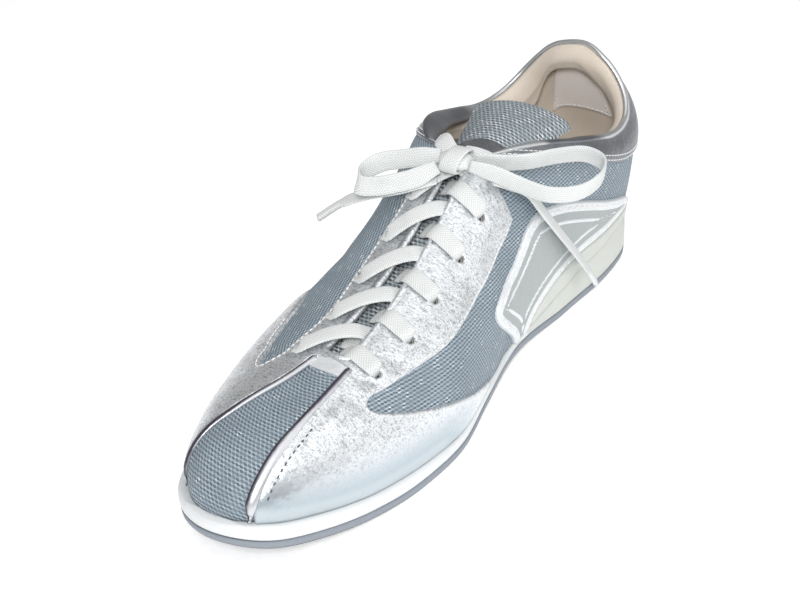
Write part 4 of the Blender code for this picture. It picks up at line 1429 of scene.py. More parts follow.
    def wall(self) -> Array:
        """Distance of the lining's face below the outside at each point."""
        fields = self.skin.fields
        back = fade(np.abs(fields["x"]), *self.back_half) * (fields["distance"] < self.heel_zone)
        down = fields["down"] * (1 + self.back_squeeze * back)
        pad = np.sqrt(np.clip(down / self.pad_rise, 0, 1)) * fade(down, *self.pad_fall)
        return self.thin_wall + self.padding * pad * self.collar

    def inner_skin(self) -> Skin:
        """Skin of the lining's face, looking into the shoe."""
        skin = self.skin
        points = skin.points - self.wall()[:, None] * skin.normals
        return Skin(points, -skin.normals, skin.faces[:, ::-1], dict(skin.fields))

    def build(self) -> None:
        """Make the mesh, the lining, its heel patch and the rolled edges."""
        skin = self.skin.split("eyelet").keep("eyelet")
        points, faces, fields = skin.solid(skin.points, self.cloth)
        made = Piece("upper_mesh_wall", UPPER_MESH).add(points, faces, self.weave_of(fields))
        made.make("mesh", ["upper"])
        inner = self.inner_skin()
        inner.fields["depth"] = self.wall() - self.cloth - self.lining_gap
        cut = inner.split("eyelet").keep("eyelet")
        points, faces, fields = cut.solid(cut.points, cut.fields["depth"][:, None])
        lining = Piece("upper_lining", LINING).add(points, faces, self.weave_of(fields)).make()
        self.heel_patch(inner)
        self.roll("collar_roll", RIM, self.collar_columns, "collar_band")
        self.roll("throat_edge", SILVER, self.throat_columns, "silver_leather")

    def heel_patch(self, inner: Skin) -> None:
        """Soft suede patch inside the heel, with a stitched lower edge."""
        flat = np.column_stack([inner.fields["x"] - self.heel_centre, inner.fields["down"]])
        outline = np.array(self.heel_patch_outline)
        near = inner.fields["distance"] < self.heel_zone
        inner.fields["heel"] = np.where(near, inner.even(inside_by(flat, outline)), -self.far)
        points, faces, fields = inner.slab("heel", self.heel_patch_rise, self.heel_patch_edge)
        Piece("heel_lining_patch", SUEDE).add(points, faces, self.weave_of(fields)).make()
        sewing = Stitching("heel_patch_stitches", THREAD)
        sewing.along(inner, "heel", self.heel_patch_seam, self.heel_patch_rise, HEEL_SEAM)
        sewing.piece.make()

    def roll(self, name: str, finish: Finish, order: Array, slot: str) -> None:
        """Rolled edge along some columns of the topline.

        Args:
            name: Name of the piece.
            finish: Its finish.
            order: Columns that it follows.
            slot: Material slot; not used.
        """
        points = self.skin.points.reshape(self.grid.shape)[order]
        normals = self.skin.normals.reshape(self.grid.shape)[order, -1]
        top = points[:, -1]
        distance = LAST.distance(top)
        front = ease(distance, *self.front_from) * fade(distance, *self.front_to)
        wall = self.roll_wall + self.front_roll * front
        upward = unit(top - points[:, -3])
        half = ((wall + self.roll_lift) / 2)[:, None]
        height = (self.roll_height + self.front_swell * front)[:, None]
        centre = top + normals * ((self.roll_lift - wall) / 2)[:, None]
        rings = [centre + normals * half - upward * self.roll_skirt]
        for a in np.linspace(0, np.pi, self.roll_steps):
            rings.append(centre + normals * half * math.cos(a) + upward * height * math.sin(a))
        rings.append(centre - normals * half - upward * self.roll_skirt)
        rings = np.stack(rings, axis=1)
        silver = ease(distance, *self.roll_silver) * (top[:, 0] > LAST.ridge(top[:, 1]))
        tint = np.repeat((front * (1 - silver))[:, None], rings.shape[1], axis=1).ravel()
        Piece(name, finish).add(rings.reshape(-1, 3), sweep(rings), None, tint).make(slot)


@dataclass(frozen=True)
class Stretch:
    """Part of the shoe that a seam keeps to: its run and heights, less a tail."""

    run: Span = (-1.0, 1.0)
    heights: Span = (-1.0, 1.0)
    tail: Span = (-1.0, -1.0)

    def holds(self, points: Array) -> Array:
        """Whether each point lies in the stretch."""
        x, distance, z = points[:, 0], LAST.distance(points), points[:, 2]
        along = (distance > self.run[0]) & (distance < self.run[1])
        tail = (x < self.tail[0]) & (distance < self.tail[1])
        return along & (z > self.heights[0]) & (z < self.heights[1]) & ~tail


HEEL_SEAM = Stretch(heights=(-1.0, 0.066))
WING_SEAM = Stretch((0.1135, 0.22), (0.014, 1.0), (-0.02, 0.185))
PATCH_SEAM = Stretch(heights=(0.013, 1.0))
BAND_SEAM = Stretch((-1.0, 0.1085))
TOE_SEAM = Stretch((0.233, 0.26))


@dataclass
class Stitching:
    """Rows of short stitches joined into one piece."""

    name: str
    finish: Finish
    length: float = 1.7 * MM
    gap: float = 0.6 * MM
    radius: float = 0.21 * MM
    arch: tuple[float, ...] = (-0.6, 0.7, 0.7, -0.6)
    around: int = 6
    shortest: int = 4

    def __post_init__(self) -> None:
        """Start an empty piece."""
        self.piece = Piece(self.name, self.finish)

    def along(
        self, skin: Skin, name: str, level: float, lift: float, stretch: Stretch, zigzag: float = 0.0
    ) -> None:
        """Stitch along a level line.

        Args:
            skin: Skin to follow.
            name: Field whose level line is followed.
            level: Its value on the line.
            lift: Height over the skin.
            stretch: Part of the shoe where the line is stitched.
            zigzag: Half-width of a zigzag row.
        """
        for points, normals in skin.lines(name, level):
            keep = stretch.holds(points)
            edges = np.flatnonzero(np.diff(np.concatenate([[0], keep.astype(int), [0]])))
            for start, stop in zip(edges[::2], edges[1::2]):
                if stop - start > self.shortest:
                    self.row(points[start:stop], normals[start:stop], lift, zigzag)

    def row(self, points: Array, normals: Array, lift: float, zigzag: float) -> None:
        """Lay stitches along one run of points."""
        run = run_of(points)
        pitch = self.length + self.gap
        bow = np.array(self.arch) * self.radius
        count = len(bow)
        for index in range(int(run[-1] / pitch)):
            at = index * pitch + np.linspace(0, self.length, count)
            path = np.column_stack([np.interp(at, run, points[:, k]) for k in range(3)])
            out = unit(np.column_stack([np.interp(at, run, normals[:, k]) for k in range(3)]))
            if zigzag:
                across = unit(np.cross(path[-1] - path[0], out[0]))
                swing = np.linspace(-1, 1, count) if index % 2 else np.linspace(1, -1, count)
                path = path + zigzag * swing[:, None] * across
            path = path + (lift + bow)[:, None] * out
            self.piece.add(*ribbon(path, out, 2 * self.radius, 2 * self.radius, self.around)[:2])


@dataclass
class Panels:
    """Overlays on the upper with their seams: toe wings, patches, wedge, band and piping."""

    upper: Upper
    thickness: float = 1.3 * MM
    edge: float = 0.9 * MM
    patch_thickness: float = 1.2 * MM
    border_width: float = 4.4 * MM
    border_rise: float = 0.5 * MM
    rib_width: float = 1.1 * MM
    rib_rise: float = 0.45 * MM
    rib_level: float = 8.2 * MM
    rib_edge: float = 0.8
    wedge_thickness: float = 1.6 * MM
    wedge_edge: float = 1.8 * MM
    band_thickness: float = 1.2 * MM
    base_thickness: float = 0.7 * MM
    base_edge: float = 0.6 * MM
    pulled_rise: Span = (6 * MM, 20 * MM)
    foot_rise: Span = (3 * MM, 7.5 * MM)
    pulled_from: Span = (0.15, 0.19)
    tint_shares: Span = (0.85, 0.15)
    piping_start: float = 0.204
    piping_end: float = 0.2655
    piping_bright: dict[Side, Span] = field(
        default_factory=lambda: {Side.MEDIAL: (0.222, 0.24), Side.LATERAL: (0.246, 0.222)}
    )
    piping_half: float = 1.25 * MM
    piping_height: float = 1 * MM
    piping_short: float = 6 * MM
    piping_steps: int = 70
    piping_around: int = 14
    piping_grow: Span = (0.225, 0.245)
    piping_grow_lateral: float = 0.25
    piping_swell: float = 0.7
    piping_inset: float = 0.45
    piping_lift: float = 0.5 * MM
    piping_ends: int = 3
    piping_end_share: float = 0.35
    piping_turn: float = 0.75
    window_seam: float = 1.4 * MM
    band_seams: Span = (1.3 * MM, 3 * MM)
    toe_seam: float = 3.6 * MM
    toe_seam_sink: float = 0.1 * MM
    zigzag: float = 0.7 * MM

    def build(self) -> None:
        """Make every overlay and its seams."""
        for side in Side:
            self.wing(side)
            self.patch(side)
            self.piping(side)
        skin = self.upper.skin
        base = skin.slab("throat_base", self.base_thickness, self.base_edge)
        Piece("throat_base", BORDER).add(*base[:2]).make("silver_leather")
        points, faces, _ = skin.slab("wedge", self.wedge_thickness, self.wedge_edge)
        wall = Piece("heel_wedge_wall", MIDSOLE).add(points, faces, None, np.ones(len(points)))
        wall.make("midsole", ["heel_wedge"])
        band = skin.slab("band", self.band_thickness, self.edge)
        Piece("collar_band_skin", PEWTER).add(*band[:2]).make("collar_band", ["collar_band"])
        self.seams()

    def wing(self, side: Side) -> None:
        """Toe wing and eyestay in one piece, smoother where it is stretched over the sole, with a painted
        bluish reflection there and a painted lighter margin at its foot.
        """
        name = side.label
        points, faces, fields = self.upper.skin.slab(f"vamp_{name}", self.thickness, self.edge)
        front = ease(fields["distance"], *self.pulled_from)
        # the first mask smooths the crinkle and lays the painted bluish reflection, the foot mask lays
        # the painted lighter margin
        pulled, foot = (fade(fields["up"], *rise) * front for rise in (self.pulled_rise, self.foot_rise))
        tint = self.tint_shares[0] * pulled + self.tint_shares[1] * foot
        made = Piece(f"toe_wing_{name}", SILVER).add(points, faces, None, tint)
        made.make("silver_leather", [f"vamp_panel_{name}"])

    def patch(self, side: Side) -> None:
        """Side patch with a raised border and a contour rib."""
        skin, name = self.upper.skin, f"patch_{side.label}"
        base = skin.slab(name, self.patch_thickness, self.edge)
        made = Piece(f"side_patch_field_{side.label}", PATCH).add(*base[:2])
        made.make("side_patch", [f"side_patch_{side.label}"])
        value = skin.fields[name]
        skin.fields["border"] = np.minimum(value, self.border_width - value)
        border = skin.slab("border", self.patch_thickness + self.border_rise, self.edge)
        skin.fields["rib"] = self.rib_width - np.abs(value - self.rib_level)
        rib = skin.slab("rib", self.patch_thickness + self.rib_rise, self.rib_edge * self.rib_width)
        raised = Piece(f"side_patch_border_{side.label}", BORDER).add(*border[:2])
        raised.add(*rib[:2]).make("side_patch")

    def piping(self, side: Side) -> None:
        """Rolled foil strip between toe strip and wing, with painted shade on the side that faces -x and
        a painted highlight along part of its length.
        """
        count, around, end = self.piping_steps, self.piping_around, self.piping_end
        if side is Side.LATERAL:
            end -= self.piping_short
        distance = np.linspace(self.piping_start, end, count)
        edge = smooth(distance, PANEL_EDGE["distance"], PANEL_EDGE[side.label])
        grow = np.full(count, self.piping_grow_lateral)
        if side is Side.MEDIAL:
            grow = ease(distance, *self.piping_grow)
        half = self.piping_half * (1 + self.piping_swell * grow)
        offset = edge - side.value * self.piping_inset * half - LAST.ridge(LAST.place(distance))
        path, normal = LAST.over(distance, offset, self.piping_lift)
        across, out = frames(path, normal)
        angle = -np.arange(around) * math.tau / around
        nearest = np.minimum(np.arange(count), np.arange(count)[::-1])
        taper = np.clip(nearest / self.piping_ends, self.piping_end_share, 1)[:, None, None]
        outward = half[:, None, None] * np.cos(angle)[:, None] * across[:, None]
        upward = self.piping_height * np.sin(angle)[:, None] * out[:, None]
        ring = path[:, None] + taper * (outward + upward)
        # painted shade and highlight: the tint darkens the side that faces -x and lightens the stretch
        # where the bright ramp along the length is high
        facing = np.cos(angle) * across[:, None, 0] + np.sin(angle) * out[:, None, 0]
        bright = ease(distance, *self.piping_bright[side])
        tint = 0.5 - self.piping_turn * facing + 0.5 * (1 - bright)[:, None]
        made = Piece(f"piping_{side.label}", PIPING)
        made.add(ring.reshape(-1, 3), sweep(ring), None, tint.ravel())
        made.make("piping", [f"toe_piping_{side.label}"])

    def seams(self) -> None:
        """Stitch rows along wings, band and patches, and painted shade of the stitch holes along the toe
        seam.
        """
        skin = self.upper.skin
        sewing = Stitching("seam_stitches", THREAD)
        # painted shade: short dark stitches sunk into the wing where the toe seam's holes are
        dark = Stitching("toe_seam_holes", STITCH_HOLE_SHADE, 1.1 * MM, 1.4 * MM, 0.3 * MM)
        for side in Side:
            name = side.label
            sewing.along(skin, f"window_{name}", self.window_seam, self.thickness, WING_SEAM)
            rise = self.patch_thickness + self.border_rise
            sewing.along(skin, f"patch_{name}", self.border_width / 2, rise, PATCH_SEAM, self.zigzag)
        for level in self.band_seams:
            sewing.along(skin, "band", level, self.band_thickness, BAND_SEAM)
        sunk = self.thickness - self.toe_seam_sink
        dark.along(skin, "inner_medial", self.toe_seam, sunk, TOE_SEAM)
        sewing.piece.make()
        dark.piece.make()


TONGUE = columns(
    "distance top half droop",
    (0.055, 0.0838, 0.018, 0.005), (0.057, 0.085, 0.0222, 0.0056), (0.062, 0.0855, 0.0228, 0.0058),
    (0.07, 0.0848, 0.0205, 0.0068), (0.08, 0.0831, 0.0196, 0.0085), (0.09, 0.0813, 0.0185, 0.009),
    (0.1, 0.0804, 0.0178, 0.009), (0.12, 0.075, 0.0175, 0.009), (0.14, 0.065, 0.0185, 0.009),
    (0.16, 0.056, 0.019, 0.008), (0.18, 0.048, 0.019, 0.007), (0.2, 0.043, 0.018, 0.006),
    (0.212, 0.04, 0.017, 0.005),
)


@dataclass
class Tongue:
    """Padded mesh tongue, held under the eyestays and free above the collar."""

    clearance: float = 4.3 * MM
    free_end: float = 0.1
    held_from: float = 0.12
    thickness: float = 3 * MM
    pad: float = 0.6 * MM
    along: int = 110
    across: int = 44
    tab_start: float = 0.0885
    tab_end: float = 0.1045
    tab_half: float = 14.5 * MM
    tab_rounds: int = 4
    tab_thickness: float = 1.5 * MM
    tab_edge: float = 1 * MM
    edge_scale: float = 0.018
    edge_round: float = 2 * MM
    pad_edge: float = 8 * MM
    pad_fall: Span = (0.095, 0.115)

    def surface(self) -> Skin:
        """Top face of the tongue."""
        share = np.linspace(-1, 1, self.across + 1)
        distance = np.linspace(TONGUE["distance"][0], TONGUE["distance"][-1], self.along + 1)
        top, half, droop = (
            smooth(distance, TONGUE["distance"], TONGUE[key])[:, None] for key in ("top", "half", "droop")
        )
        y = np.broadcast_to(LAST.place(distance)[:, None], (len(distance), len(share)))
        x = LAST.ridge(y) + share * half
        held = LAST.dome(x, y)[..., 2] - self.clearance
        free = top - droop * share**2
        blend = np.clip((distance - self.free_end) / (self.held_from - self.free_end), 0, 1)[:, None]
        grid = np.stack([x, y, free + (held - free) * blend], -1)
        skin = Skin.from_grid(grid[::-1], closed=False)
        skin.fields["distance"] = LAST.distance(skin.points)
        skin.fields["offset"] = skin.points[:, 0] - LAST.ridge(skin.points[:, 1])
        half_here = np.interp(skin.fields["distance"], TONGUE["distance"], TONGUE["half"])
        skin.fields["share"] = skin.fields["offset"] / half_here
        return skin

    def build(self) -> None:
        """Make the tongue with rounded edges, and the plain tab on it."""
        skin = self.surface()
        fields = skin.fields
        inset = (1 - np.abs(fields["share"])) * self.edge_scale
        inset = np.minimum(inset, fields["distance"] - TONGUE["distance"][0])
        round_off = np.sqrt(np.clip(1 - (1 - np.clip(inset / self.edge_round, 0, 1)) ** 2, 0, 1))
        free = fade(fields["distance"], *self.pad_fall)
        swell = self.pad * free * np.clip(inset / self.pad_edge, 0, 1)
        sag = (1 - round_off) * self.thickness / 2
        top = skin.points + (swell - sag)[:, None] * skin.normals
        deep = self.thickness * (1 + round_off)[:, None] / 2
        points, faces, kept = skin.solid(top, deep)
        weave = np.column_stack([kept["offset"], kept["distance"], 0 * kept["offset"]])
        Piece("tongue_pad", TONGUE_MESH).add(points, faces, weave).make("tongue_mesh", ["tongue"])
        self.tab(skin)

    def tab(self, skin: Skin) -> None:
        """Plain shiny tab across the tongue behind the knot."""
        fields = skin.fields
        flat = np.column_stack([fields["offset"], fields["distance"]])
        half, start, end = self.tab_half, self.tab_start, self.tab_end
        corners = np.array([(-half, start), (half, start), (half, end), (-half, end)])
        fields["tab"] = skin.even(inside_by(flat, rounded(corners, self.tab_rounds)))
        tab = skin.slab("tab", self.tab_thickness, self.tab_edge)
        Piece("tongue_tab", PEWTER).add(*tab[:2]).make()


@dataclass
class Sole:
    """Outsole with its tread, midsole and insole."""

    steps: int = 170
    across: int = 36
    outsole_thickness: float = 3.2 * MM
    fit_gap: float = 0.3 * MM
    seat_gap: float = 0.5 * MM
    insole_inset: float = 5.6 * MM
    insole_toe_inset: float = 8.5 * MM
    toe_start: float = 0.8
    groove_depth: float = 1.3 * MM
    groove_pitch: float = 10.9 * MM
    cream_from: float = 0.112
    cream_to: float = 0.106
    cream_slope: float = 0.35
    wave_swing: float = 2.5 * MM
    wave_length: float = 6 * MM
    groove_edge: Span = (0.35, 0.75)
    middle_x: float = -0.004
    middle_half: Span = (1.2 * MM, 2 * MM)
    tread_margin: Span = (3 * MM, 5 * MM)
    under_rise: Span = (0.2 * MM, 1.2 * MM)
    dish_depth: float = 0.6 * MM
    dish_half: float = 18 * MM
    outsole_levels: Rows = ((1.4, 0.0), (0.6, 0.25), (0.2, 1.0), (0.1, 2.4), (0.1, 3.45))
    midsole_levels: Rows = (
        (1.0, 0, 0.0), (0.3, 0, 0.5), (0.0, 0, 1.2), (-0.15, 0.5, 0.0), (0.0, 1, -1.2), (0.35, 1, -0.4),
        (1.0, 1, 0.0),
    )
    insole_levels: Rows = ((0.0, 0.3), (-0.1, 1.6), (0.2, 2.8), (1.0, 3.3))

    def ring(self, inset: float, toe_inset: float | None = None) -> tuple[Array, Array]:
        """Plan points and stations round the sole, moved inwards.

        Args:
            inset: Distance moved in.
            toe_inset: Distance moved in at the toe's end, where it differs.

        Returns:
            Points and stations, medial heel to toe and lateral back.
        """
        station = (1 - np.cos(np.linspace(0, np.pi, self.steps))) / 2
        y = LAST.place(LAST.length * station)
        medial, lateral = (
            np.column_stack([side.value * LAST.sole_half(station, side), y]) for side in Side
        )
        ring = np.concatenate([medial, lateral[-2:0:-1]])
        stations = np.concatenate([station, station[-2:0:-1]])
        along = unit(np.roll(ring, -1, axis=0) - np.roll(ring, 1, axis=0))
        inward = np.column_stack([along[:, 1], -along[:, 0]])
        toe = np.clip((stations - self.toe_start) / (1 - self.toe_start), 0, 1)
        amount = inset + ((inset if toe_inset is None else toe_inset) - inset) * toe
        return ring + inward * amount[:, None], stations

    def layer(
        self,
        rings: Sequence[tuple[Array, Array]],
        low: Callable[[Array, Array], Array],
        high: Callable[[Array, Array], Array],
    ) -> tuple[Array, Faces]:
        """Closed layer of outline rings, with ruled faces below and above.

        Args:
            rings: Plan points and heights from the bottom to the top.
            low: Change of height over the lower face, from x and y.
            high: Change of height over the upper face, from x and y.

        Returns:
            Points and faces.
        """
        count, half = len(rings[0][0]), self.steps
        points = [np.column_stack([plan, z]) for plan, z in rings]
        faces: Faces = []
        for level in range(len(rings) - 1):
            a, b = level * count, (level + 1) * count
            for i in range(count):
                n = (i + 1) % count
                faces.append((a + i, b + i, b + n, a + n))
        base = len(rings) * count
        for ring, change, flip in ((0, low, False), (len(rings) - 1, high, True)):
            edge = points[ring]
            index = np.zeros((half, self.across + 1), int)
            for i in range(half):
                far = (count - i) % count
                if far == i:
                    index[i] = ring * count + i
                    continue
                share = np.linspace(0, 1, self.across + 1)[1:-1, None]
                row = edge[i] + share * (edge[far] - edge[i])
                row[:, 2] += change(row[:, 0], row[:, 1])
                index[i] = base + np.arange(-1, self.across)
                index[i, 0], index[i, -1] = ring * count + i, ring * count + far
                points.append(row)
                base += self.across - 1
            for i in range(half - 1):
                for k in range(self.across):
                    face = (index[i, k], index[i, k + 1], index[i + 1, k + 1], index[i + 1, k])
                    face = tuple(dict.fromkeys(face))
                    if len(face) > 2:
                        faces.append(face if flip else face[::-1])
        return np.concatenate(points), faces

    @staticmethod
    def level(x: Array, y: Array) -> Array:
        """No change of height."""
        return 0 * x

    def tread(self, x: Array, y: Array) -> Array:
        """Depth of the tread's wavy cross grooves and its middle groove."""
        swing = self.wave_swing * np.sin(x / self.wave_length)
        cross = ease(np.cos(math.tau * (y + swing) / self.groove_pitch), *self.groove_edge)
        middle = fade(np.abs(x - self.middle_x), *self.middle_half)
        station = LAST.sole_station(y)
        edge = np.minimum(*(LAST.sole_half(station, side) - side.value * x for side in Side))
        return self.groove_depth * np.maximum(cross, middle) * ease(edge, *self.tread_margin)

    def bed(self, station: Array) -> Array:
        """Top of the midsole under the upper's lower edge."""
        y = LAST.place(LAST.length * np.asarray(station))
        return LAST.value("feather", LAST.station_at(y)) - self.seat_gap

    def build(self) -> None:
        """Make the three layers."""
        self.outsole()
        self.midsole()
        self.insole()

    def outsole(self) -> None:
        """Rubber tread with a bevelled lower edge."""
        rings = []
        for inset, rise in self.outsole_levels:
            plan, station = self.ring(inset * MM)
            rings.append((plan, LAST.floor(station) + rise * MM))
        points, faces = self.layer(rings, self.tread, self.level)
        station = LAST.sole_station(points[:, 1])
        under = fade(points[:, 2] - LAST.floor(station), *self.under_rise)
        Piece("outsole_tread", OUTSOLE).add(points, faces, None, under).make("outsole", ["outsole"])

    def midsole(self) -> None:
        """Foam layer, white in front and cream at the heel, with rounded edges."""
        rings = []
        for inset, share, rise in self.midsole_levels:
            plan, station = self.ring(inset * MM)
            low = LAST.floor(station) + self.outsole_thickness + self.fit_gap
            rings.append((plan, low + (self.bed(station) - low) * share + rise * MM))
        points, faces = self.layer(rings, self.level, self.level)
        back = LAST.distance(points) + self.cream_slope * points[:, 2]
        cream = fade(back, self.cream_to, self.cream_from)
        Piece("midsole_wall", MIDSOLE).add(points, faces, None, cream).make("midsole", ["midsole"])

    def insole(self) -> None:
        """Soft footbed, slightly dished, with rounded edges."""
        rings = []
        for extra, rise in self.insole_levels:
            plan, station = self.ring(self.insole_inset + extra * MM, self.insole_toe_inset + extra * MM)
            rings.append((plan, self.bed(station) + rise * MM))
        points, faces = self.layer(rings, self.level, self.dish)
        Piece("footbed", FOOTBED).add(points, faces).make("insole", ["insole"])

    def dish(self, x: Array, y: Array) -> Array:
        """Shallow cup of the footbed."""
        return -self.dish_depth * np.exp(-((x / self.dish_half) ** 2))


LOOP_MEDIAL = columns(
    "x distance z",
    (0.016, 0.1186, 0.0896), (0.0243, 0.1148, 0.0884), (0.0325, 0.1071, 0.0872),
    (0.0389, 0.0956, 0.0858), (0.0453, 0.0869, 0.0842), (0.0518, 0.0856, 0.0825),
    (0.0555, 0.0889, 0.081), (0.0568, 0.097, 0.0795), (0.053, 0.1062, 0.0782), (0.0443, 0.113, 0.0787),
    (0.034, 0.116, 0.0817), (0.0255, 0.1195, 0.0858), (0.0163, 0.1228, 0.0888),
)
LOOP_LATERAL = columns(
    "x distance z",
    (0.003, 0.1216, 0.0898), (-0.004, 0.1242, 0.0888), (-0.011, 0.1262, 0.0872),
    (-0.0178, 0.129, 0.086), (-0.0218, 0.1332, 0.0845), (-0.0232, 0.139, 0.0828),
    (-0.0205, 0.1432, 0.0815), (-0.0145, 0.1402, 0.0812), (-0.0085, 0.136, 0.082),
    (-0.0022, 0.132, 0.0838), (0.004, 0.1262, 0.0872),
)
END_MEDIAL = columns(
    "x distance z",
    (0.0222, 0.1165, 0.0822), (0.0264, 0.1122, 0.0792), (0.0312, 0.1062, 0.0742),
    (0.0342, 0.0988, 0.0622), (0.0362, 0.09, 0.0495), (0.038, 0.078, 0.0335), (0.0388, 0.069, 0.021),
    (0.0392, 0.062, 0.011),
)
END_LATERAL = columns(
    "x distance z",
    (0.0036, 0.1264, 0.0822), (-0.008, 0.1325, 0.0784), (-0.0205, 0.137, 0.075),
    (-0.031, 0.141, 0.0705), (-0.0399, 0.1463, 0.064),
)
LATERAL_STRAND = columns(
    "offset climb lift",
    (0.2, -0.001, -0.0035), (0.0, -0.0022, -0.0002), (-0.4, -0.0036, 0.0016), (0.6, -0.0034, 0.003),
    (3.0, -0.0008, 0.0037), (6.5, 0.004, 0.0035), (10.5, 0.0082, 0.0027), (14.0, 0.0112, 0.0012),
    (16.5, 0.013, -0.0014), (20.0, 0.0145, -0.0036),
)
MEDIAL_STRAND = columns(
    "offset climb lift",
    (0.0, 0.0, -0.0035), (0.6, 0.0, 0.0004), (1.6, 0.0002, 0.0028), (5.0, 0.0008, 0.0026),
    (9.0, 0.0018, 0.0024), (11.5, 0.0024, 0.001), (13.5, 0.0029, -0.0012), (17.0, 0.0036, -0.0032),
)


class Hang(Enum):
    """How a free run of lace lies."""

    LOOP = "object"
    END = "bare"


@dataclass(frozen=True)
class BowPart:
    """One free run of the bow."""

    name: str
    node: str
    route: Table
    facing: Triple
    hang: Hang


BOW = (
    BowPart("bow_loop_medial", "lace_loop_medial", LOOP_MEDIAL, (0.2, -0.1, 0.97), Hang.LOOP),
    BowPart("bow_loop_lateral", "lace_loop_lateral", LOOP_LATERAL, (0.0, 0.5, 0.85), Hang.LOOP),
    BowPart("bow_end_medial", "lace_end_medial", END_MEDIAL, (0.66, 0.12, 0.7), Hang.END),
    BowPart("bow_end_lateral", "lace_end_lateral", END_LATERAL, (-0.3, -0.3, 0.9), Hang.END),
)


@dataclass
class Laces:
    """Flat lace: strands through the eyelets, knot, loops and ends."""

    width: float = 7.6 * MM
    thickness: float = 1.4 * MM
    tip_length: float = 11 * MM
    tip_width: float = 4.2 * MM
    bar_distance: float = 0.1925
    bar_half: float = 4 * MM
    bar_drop: float = 2.8 * MM
    knot_centre: Triple = (0.0096, 0.1214, 0.0892)
    knot_half: Triple = (6.4 * MM, 6.4 * MM, 4.7 * MM)
    free_steps: int = 90
    free_around: int = 20
    loop_run: float = 9 * MM
    loop_shares: Span = (0.72, 0.28)
    tip_run: Span = (4 * MM, 1 * MM)
    tip_swell: float = 0.9 * MM
    bar_steps: int = 9
    strand_steps: int = 60
    strand_spans: int = 48
    strand_run: Span = (1 * MM, 8 * MM)
    strand_shares: Span = (0.42, 0.58)
    top_climb: float = -0.5
    top_reach: float = 0.8
    top_lift: float = 2.4 * MM
    top_lift_from: float = 4
    core_steps: int = 25
    core_around: int = 24
    core_round: float = 0.75
    core_shares: Span = (0.8, 0.75)
    band_steps: int = 49
    band_lean: float = 1.6 * MM
    band_shares: Span = (0.92, 0.95)

    def build_bow(self) -> None:
        for part in BOW:
            self.free_run(part)

    def free_run(self, part: BowPart) -> None:
        """Make one loop or end."""
        table = np.column_stack([part.route["x"], LAST.place(part.route["distance"]), part.route["z"]])
        path = curve_through(table, self.free_steps)
        facing = np.broadcast_to(part.facing, path.shape)
        run = run_of(path)
        width = np.full(len(path), self.width)
        thickness = np.full(len(path), self.thickness)
        if part.hang is Hang.LOOP:
            facing = np.cross(facing, np.gradient(path, axis=0))
            clear = ease(np.minimum(run, run[-1] - run), 0.0, self.loop_run)
            width *= self.loop_shares[0] + self.loop_shares[1] * clear
        else:
            tip_at = run[-1] - self.tip_length
            tip = ease(run, tip_at - self.tip_run[0], tip_at + self.tip_run[1])
            width += (self.tip_width - self.width) * tip
            thickness += self.tip_swell * tip
        body = ribbon(path, facing, width, thickness, self.free_around)
        made = Piece(part.name, LACE).add(*body).make("lace", [part.node])

    def build_runs(self) -> None:
        """Make the knot, the bottom bar and the strands."""
        self.knot()
        offset = np.linspace(-self.bar_half, self.bar_half, self.bar_steps)
        path, normal = LAST.over(np.full(self.bar_steps, self.bar_distance), offset, -self.bar_drop)
        bar = ribbon(path, normal, self.width, self.thickness)
        Piece("lace_bar", LACE).add(*bar).make("lace", ["lace_bar_bottom"])
        for index in range(len(EYELETS["distance"])):
            self.crossing(index)

    def crossing(self, index: int) -> None:
        """Two strands from one pair of eyelets to the middle of the throat."""
        piece = Piece(f"lace_strands_{index + 1}", LACE)
        distance = EYELETS["distance"][index]
        last = index == len(EYELETS["distance"]) - 1
        for side, table in ((Side.LATERAL, LATERAL_STRAND), (Side.MEDIAL, MEDIAL_STRAND)):
            rows = np.arange(len(table["offset"]), dtype=float)
            at = np.linspace(0, rows[-1], self.strand_steps)
            reach, climb, lift = (smooth(at, rows, table[n]) for n in ("offset", "climb", "lift"))
            if last:
                climb = self.top_climb * climb
                lift = np.where(reach > self.top_lift_from, np.maximum(lift, self.top_lift), lift)
                reach = reach * self.top_reach
            offset = EYELETS[side.label][index] - side.value * reach * MM
            path, normal = LAST.over(distance - climb, offset, lift)
            path = resample(path, self.strand_spans)
            normal = normal[np.linspace(0, self.strand_steps - 1, len(path)).astype(int)]
            clear = ease(run_of(path), *self.strand_run)
            width = self.width * (self.strand_shares[0] + self.strand_shares[1] * clear)
            piece.add(*ribbon(path, normal, width, self.thickness))
        piece.make("lace", [f"lace_crossing_{index + 1}"])

    def knot(self) -> None:
        """Tight core with a flat band wrapped round it."""
        x, distance, z = self.knot_centre
        centre = np.array((x, float(LAST.place(distance)), z))
        half = np.array(self.knot_half)
        along = np.linspace(-1, 1, self.core_steps)
        angle = np.arange(self.core_around) * math.tau / self.core_around
        swell = np.sqrt(np.clip(1 - self.core_round * along**2, 0, 1))
        core = np.stack(
            [
                centre[0] + half[0] * along[:, None] + 0 * angle,
                centre[1] + self.core_shares[0] * half[1] * swell[:, None] * np.cos(angle),
                centre[2] + self.core_shares[1] * half[2] * swell[:, None] * np.sin(angle),
            ],
            -1,
        )
        weave = np.zeros((*core.shape[:2], 3))
        weave[..., 0], weave[..., 1] = half[1] * np.cos(angle), half[0] * along[:, None]
        piece = Piece("bow_knot", LACE).add(core.reshape(-1, 3), sweep(core), weave.reshape(-1, 3))
        turn = np.linspace(0, math.tau, self.band_steps)
        lean = self.band_lean * np.sin(turn)
        wide, tall = (share * size for share, size in zip(self.band_shares, half[1:]))
        path = centre + np.column_stack([lean, wide * np.cos(turn), tall * np.sin(turn)])
        facing = np.column_stack([0 * turn, np.cos(turn) / half[1], np.sin(turn) / half[2]])
        piece.add(*ribbon(path, facing, self.width, self.thickness))
        piece.make("lace", ["lace_knot"])


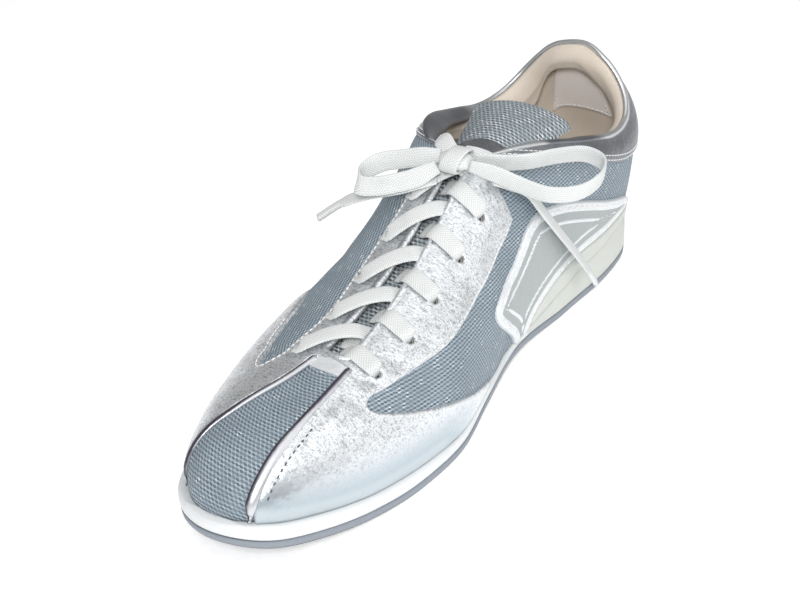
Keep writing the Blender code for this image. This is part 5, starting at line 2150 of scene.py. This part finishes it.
@dataclass
class Studio:
    """Camera, lights, white surroundings and floor."""

    eye: Triple = (0.268727, -0.388545, 0.327997)
    ahead: Triple = (-0.36456, 0.75526, -0.54468)
    right: Triple = (0.89551, 0.44471, 0.01726)
    above: Triple = (-0.25526, 0.48148, 0.83846)
    aim: Span = (-0.1448, 0.0105)
    lens: float = 63.0
    sensor: float = 36.0
    room: float = 0.3
    target: Triple = (0.0, 0.0, 0.04)
    lamps: tuple[tuple[str, Triple, float, float], ...] = (
        ("key", (0.45, -0.75, 0.75), 0.28, 6.5),
        ("top", (0.3, -0.1, 1.4), 1.6, 8.0),
        ("side", (1.0, 0.25, 0.55), 0.6, 2.0),
    )
    floor_half: float = 4.0

    def camera(self) -> None:
        """Camera at the photograph's place, turned to the one shoe."""
        data = bpy.data.cameras.new("camera")
        data.lens, data.sensor_width = self.lens, self.sensor
        made = shown("camera", data)
        ahead, right, above = map(Vector, (self.ahead, self.right, self.above))
        look = (ahead + self.aim[0] * right + self.aim[1] * above).normalized()
        side = look.cross(above).normalized()
        top = side.cross(look)
        turn = Matrix((side, top, -look)).transposed()
        made.matrix_world = Matrix.Translation(self.eye) @ turn.to_4x4()
        bpy.context.scene.camera = made

    def lights(self) -> None:
        """Large soft lights and white surroundings."""
        world = bpy.data.worlds.new("white_room")
        world.use_nodes = True
        background = world.node_tree.nodes["Background"]
        background.inputs["Color"].default_value = (1.0, 1.0, 1.0, 1.0)
        background.inputs["Strength"].default_value = self.room
        bpy.context.scene.world = world
        for name, place, size, power in self.lamps:
            data = bpy.data.lights.new(name, "AREA")
            data.size, data.energy = size, power
            made = shown(name, data)
            made.location = place
            made.rotation_mode = "QUATERNION"
            made.rotation_quaternion = (Vector(self.target) - Vector(place)).to_track_quat("-Z", "Y")

    def floor(self) -> None:
        """Plain pale floor."""
        mesh = bpy.data.meshes.new("floor")
        half = self.floor_half
        corners = [(-half, -half, 0), (half, -half, 0), (half, half, 0), (-half, half, 0)]
        mesh.from_pydata(corners, [], [(0, 1, 2, 3)])
        mesh.materials.append(FLOOR.material())
        made = shown("floor", mesh)

    def build(self) -> None:
        """Set up lights, floor and the plain rendering of colours."""
        self.lights()
        self.floor()
        bpy.context.scene.view_settings.view_transform = "Standard"


def main() -> None:
    """Build the shoe's sub-assemblies in order."""
    logging.basicConfig(level=logging.INFO, format="%(name)s %(message)s")
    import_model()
    studio = Studio()
    studio.camera()
    laces = Laces()
    laces.build_bow()
    laces.build_runs()
    upper = Upper()
    upper.build()
    Panels(upper).build()
    Tongue().build()
    Sole().build()
    studio.build()


if __name__ == "__main__":
    main()
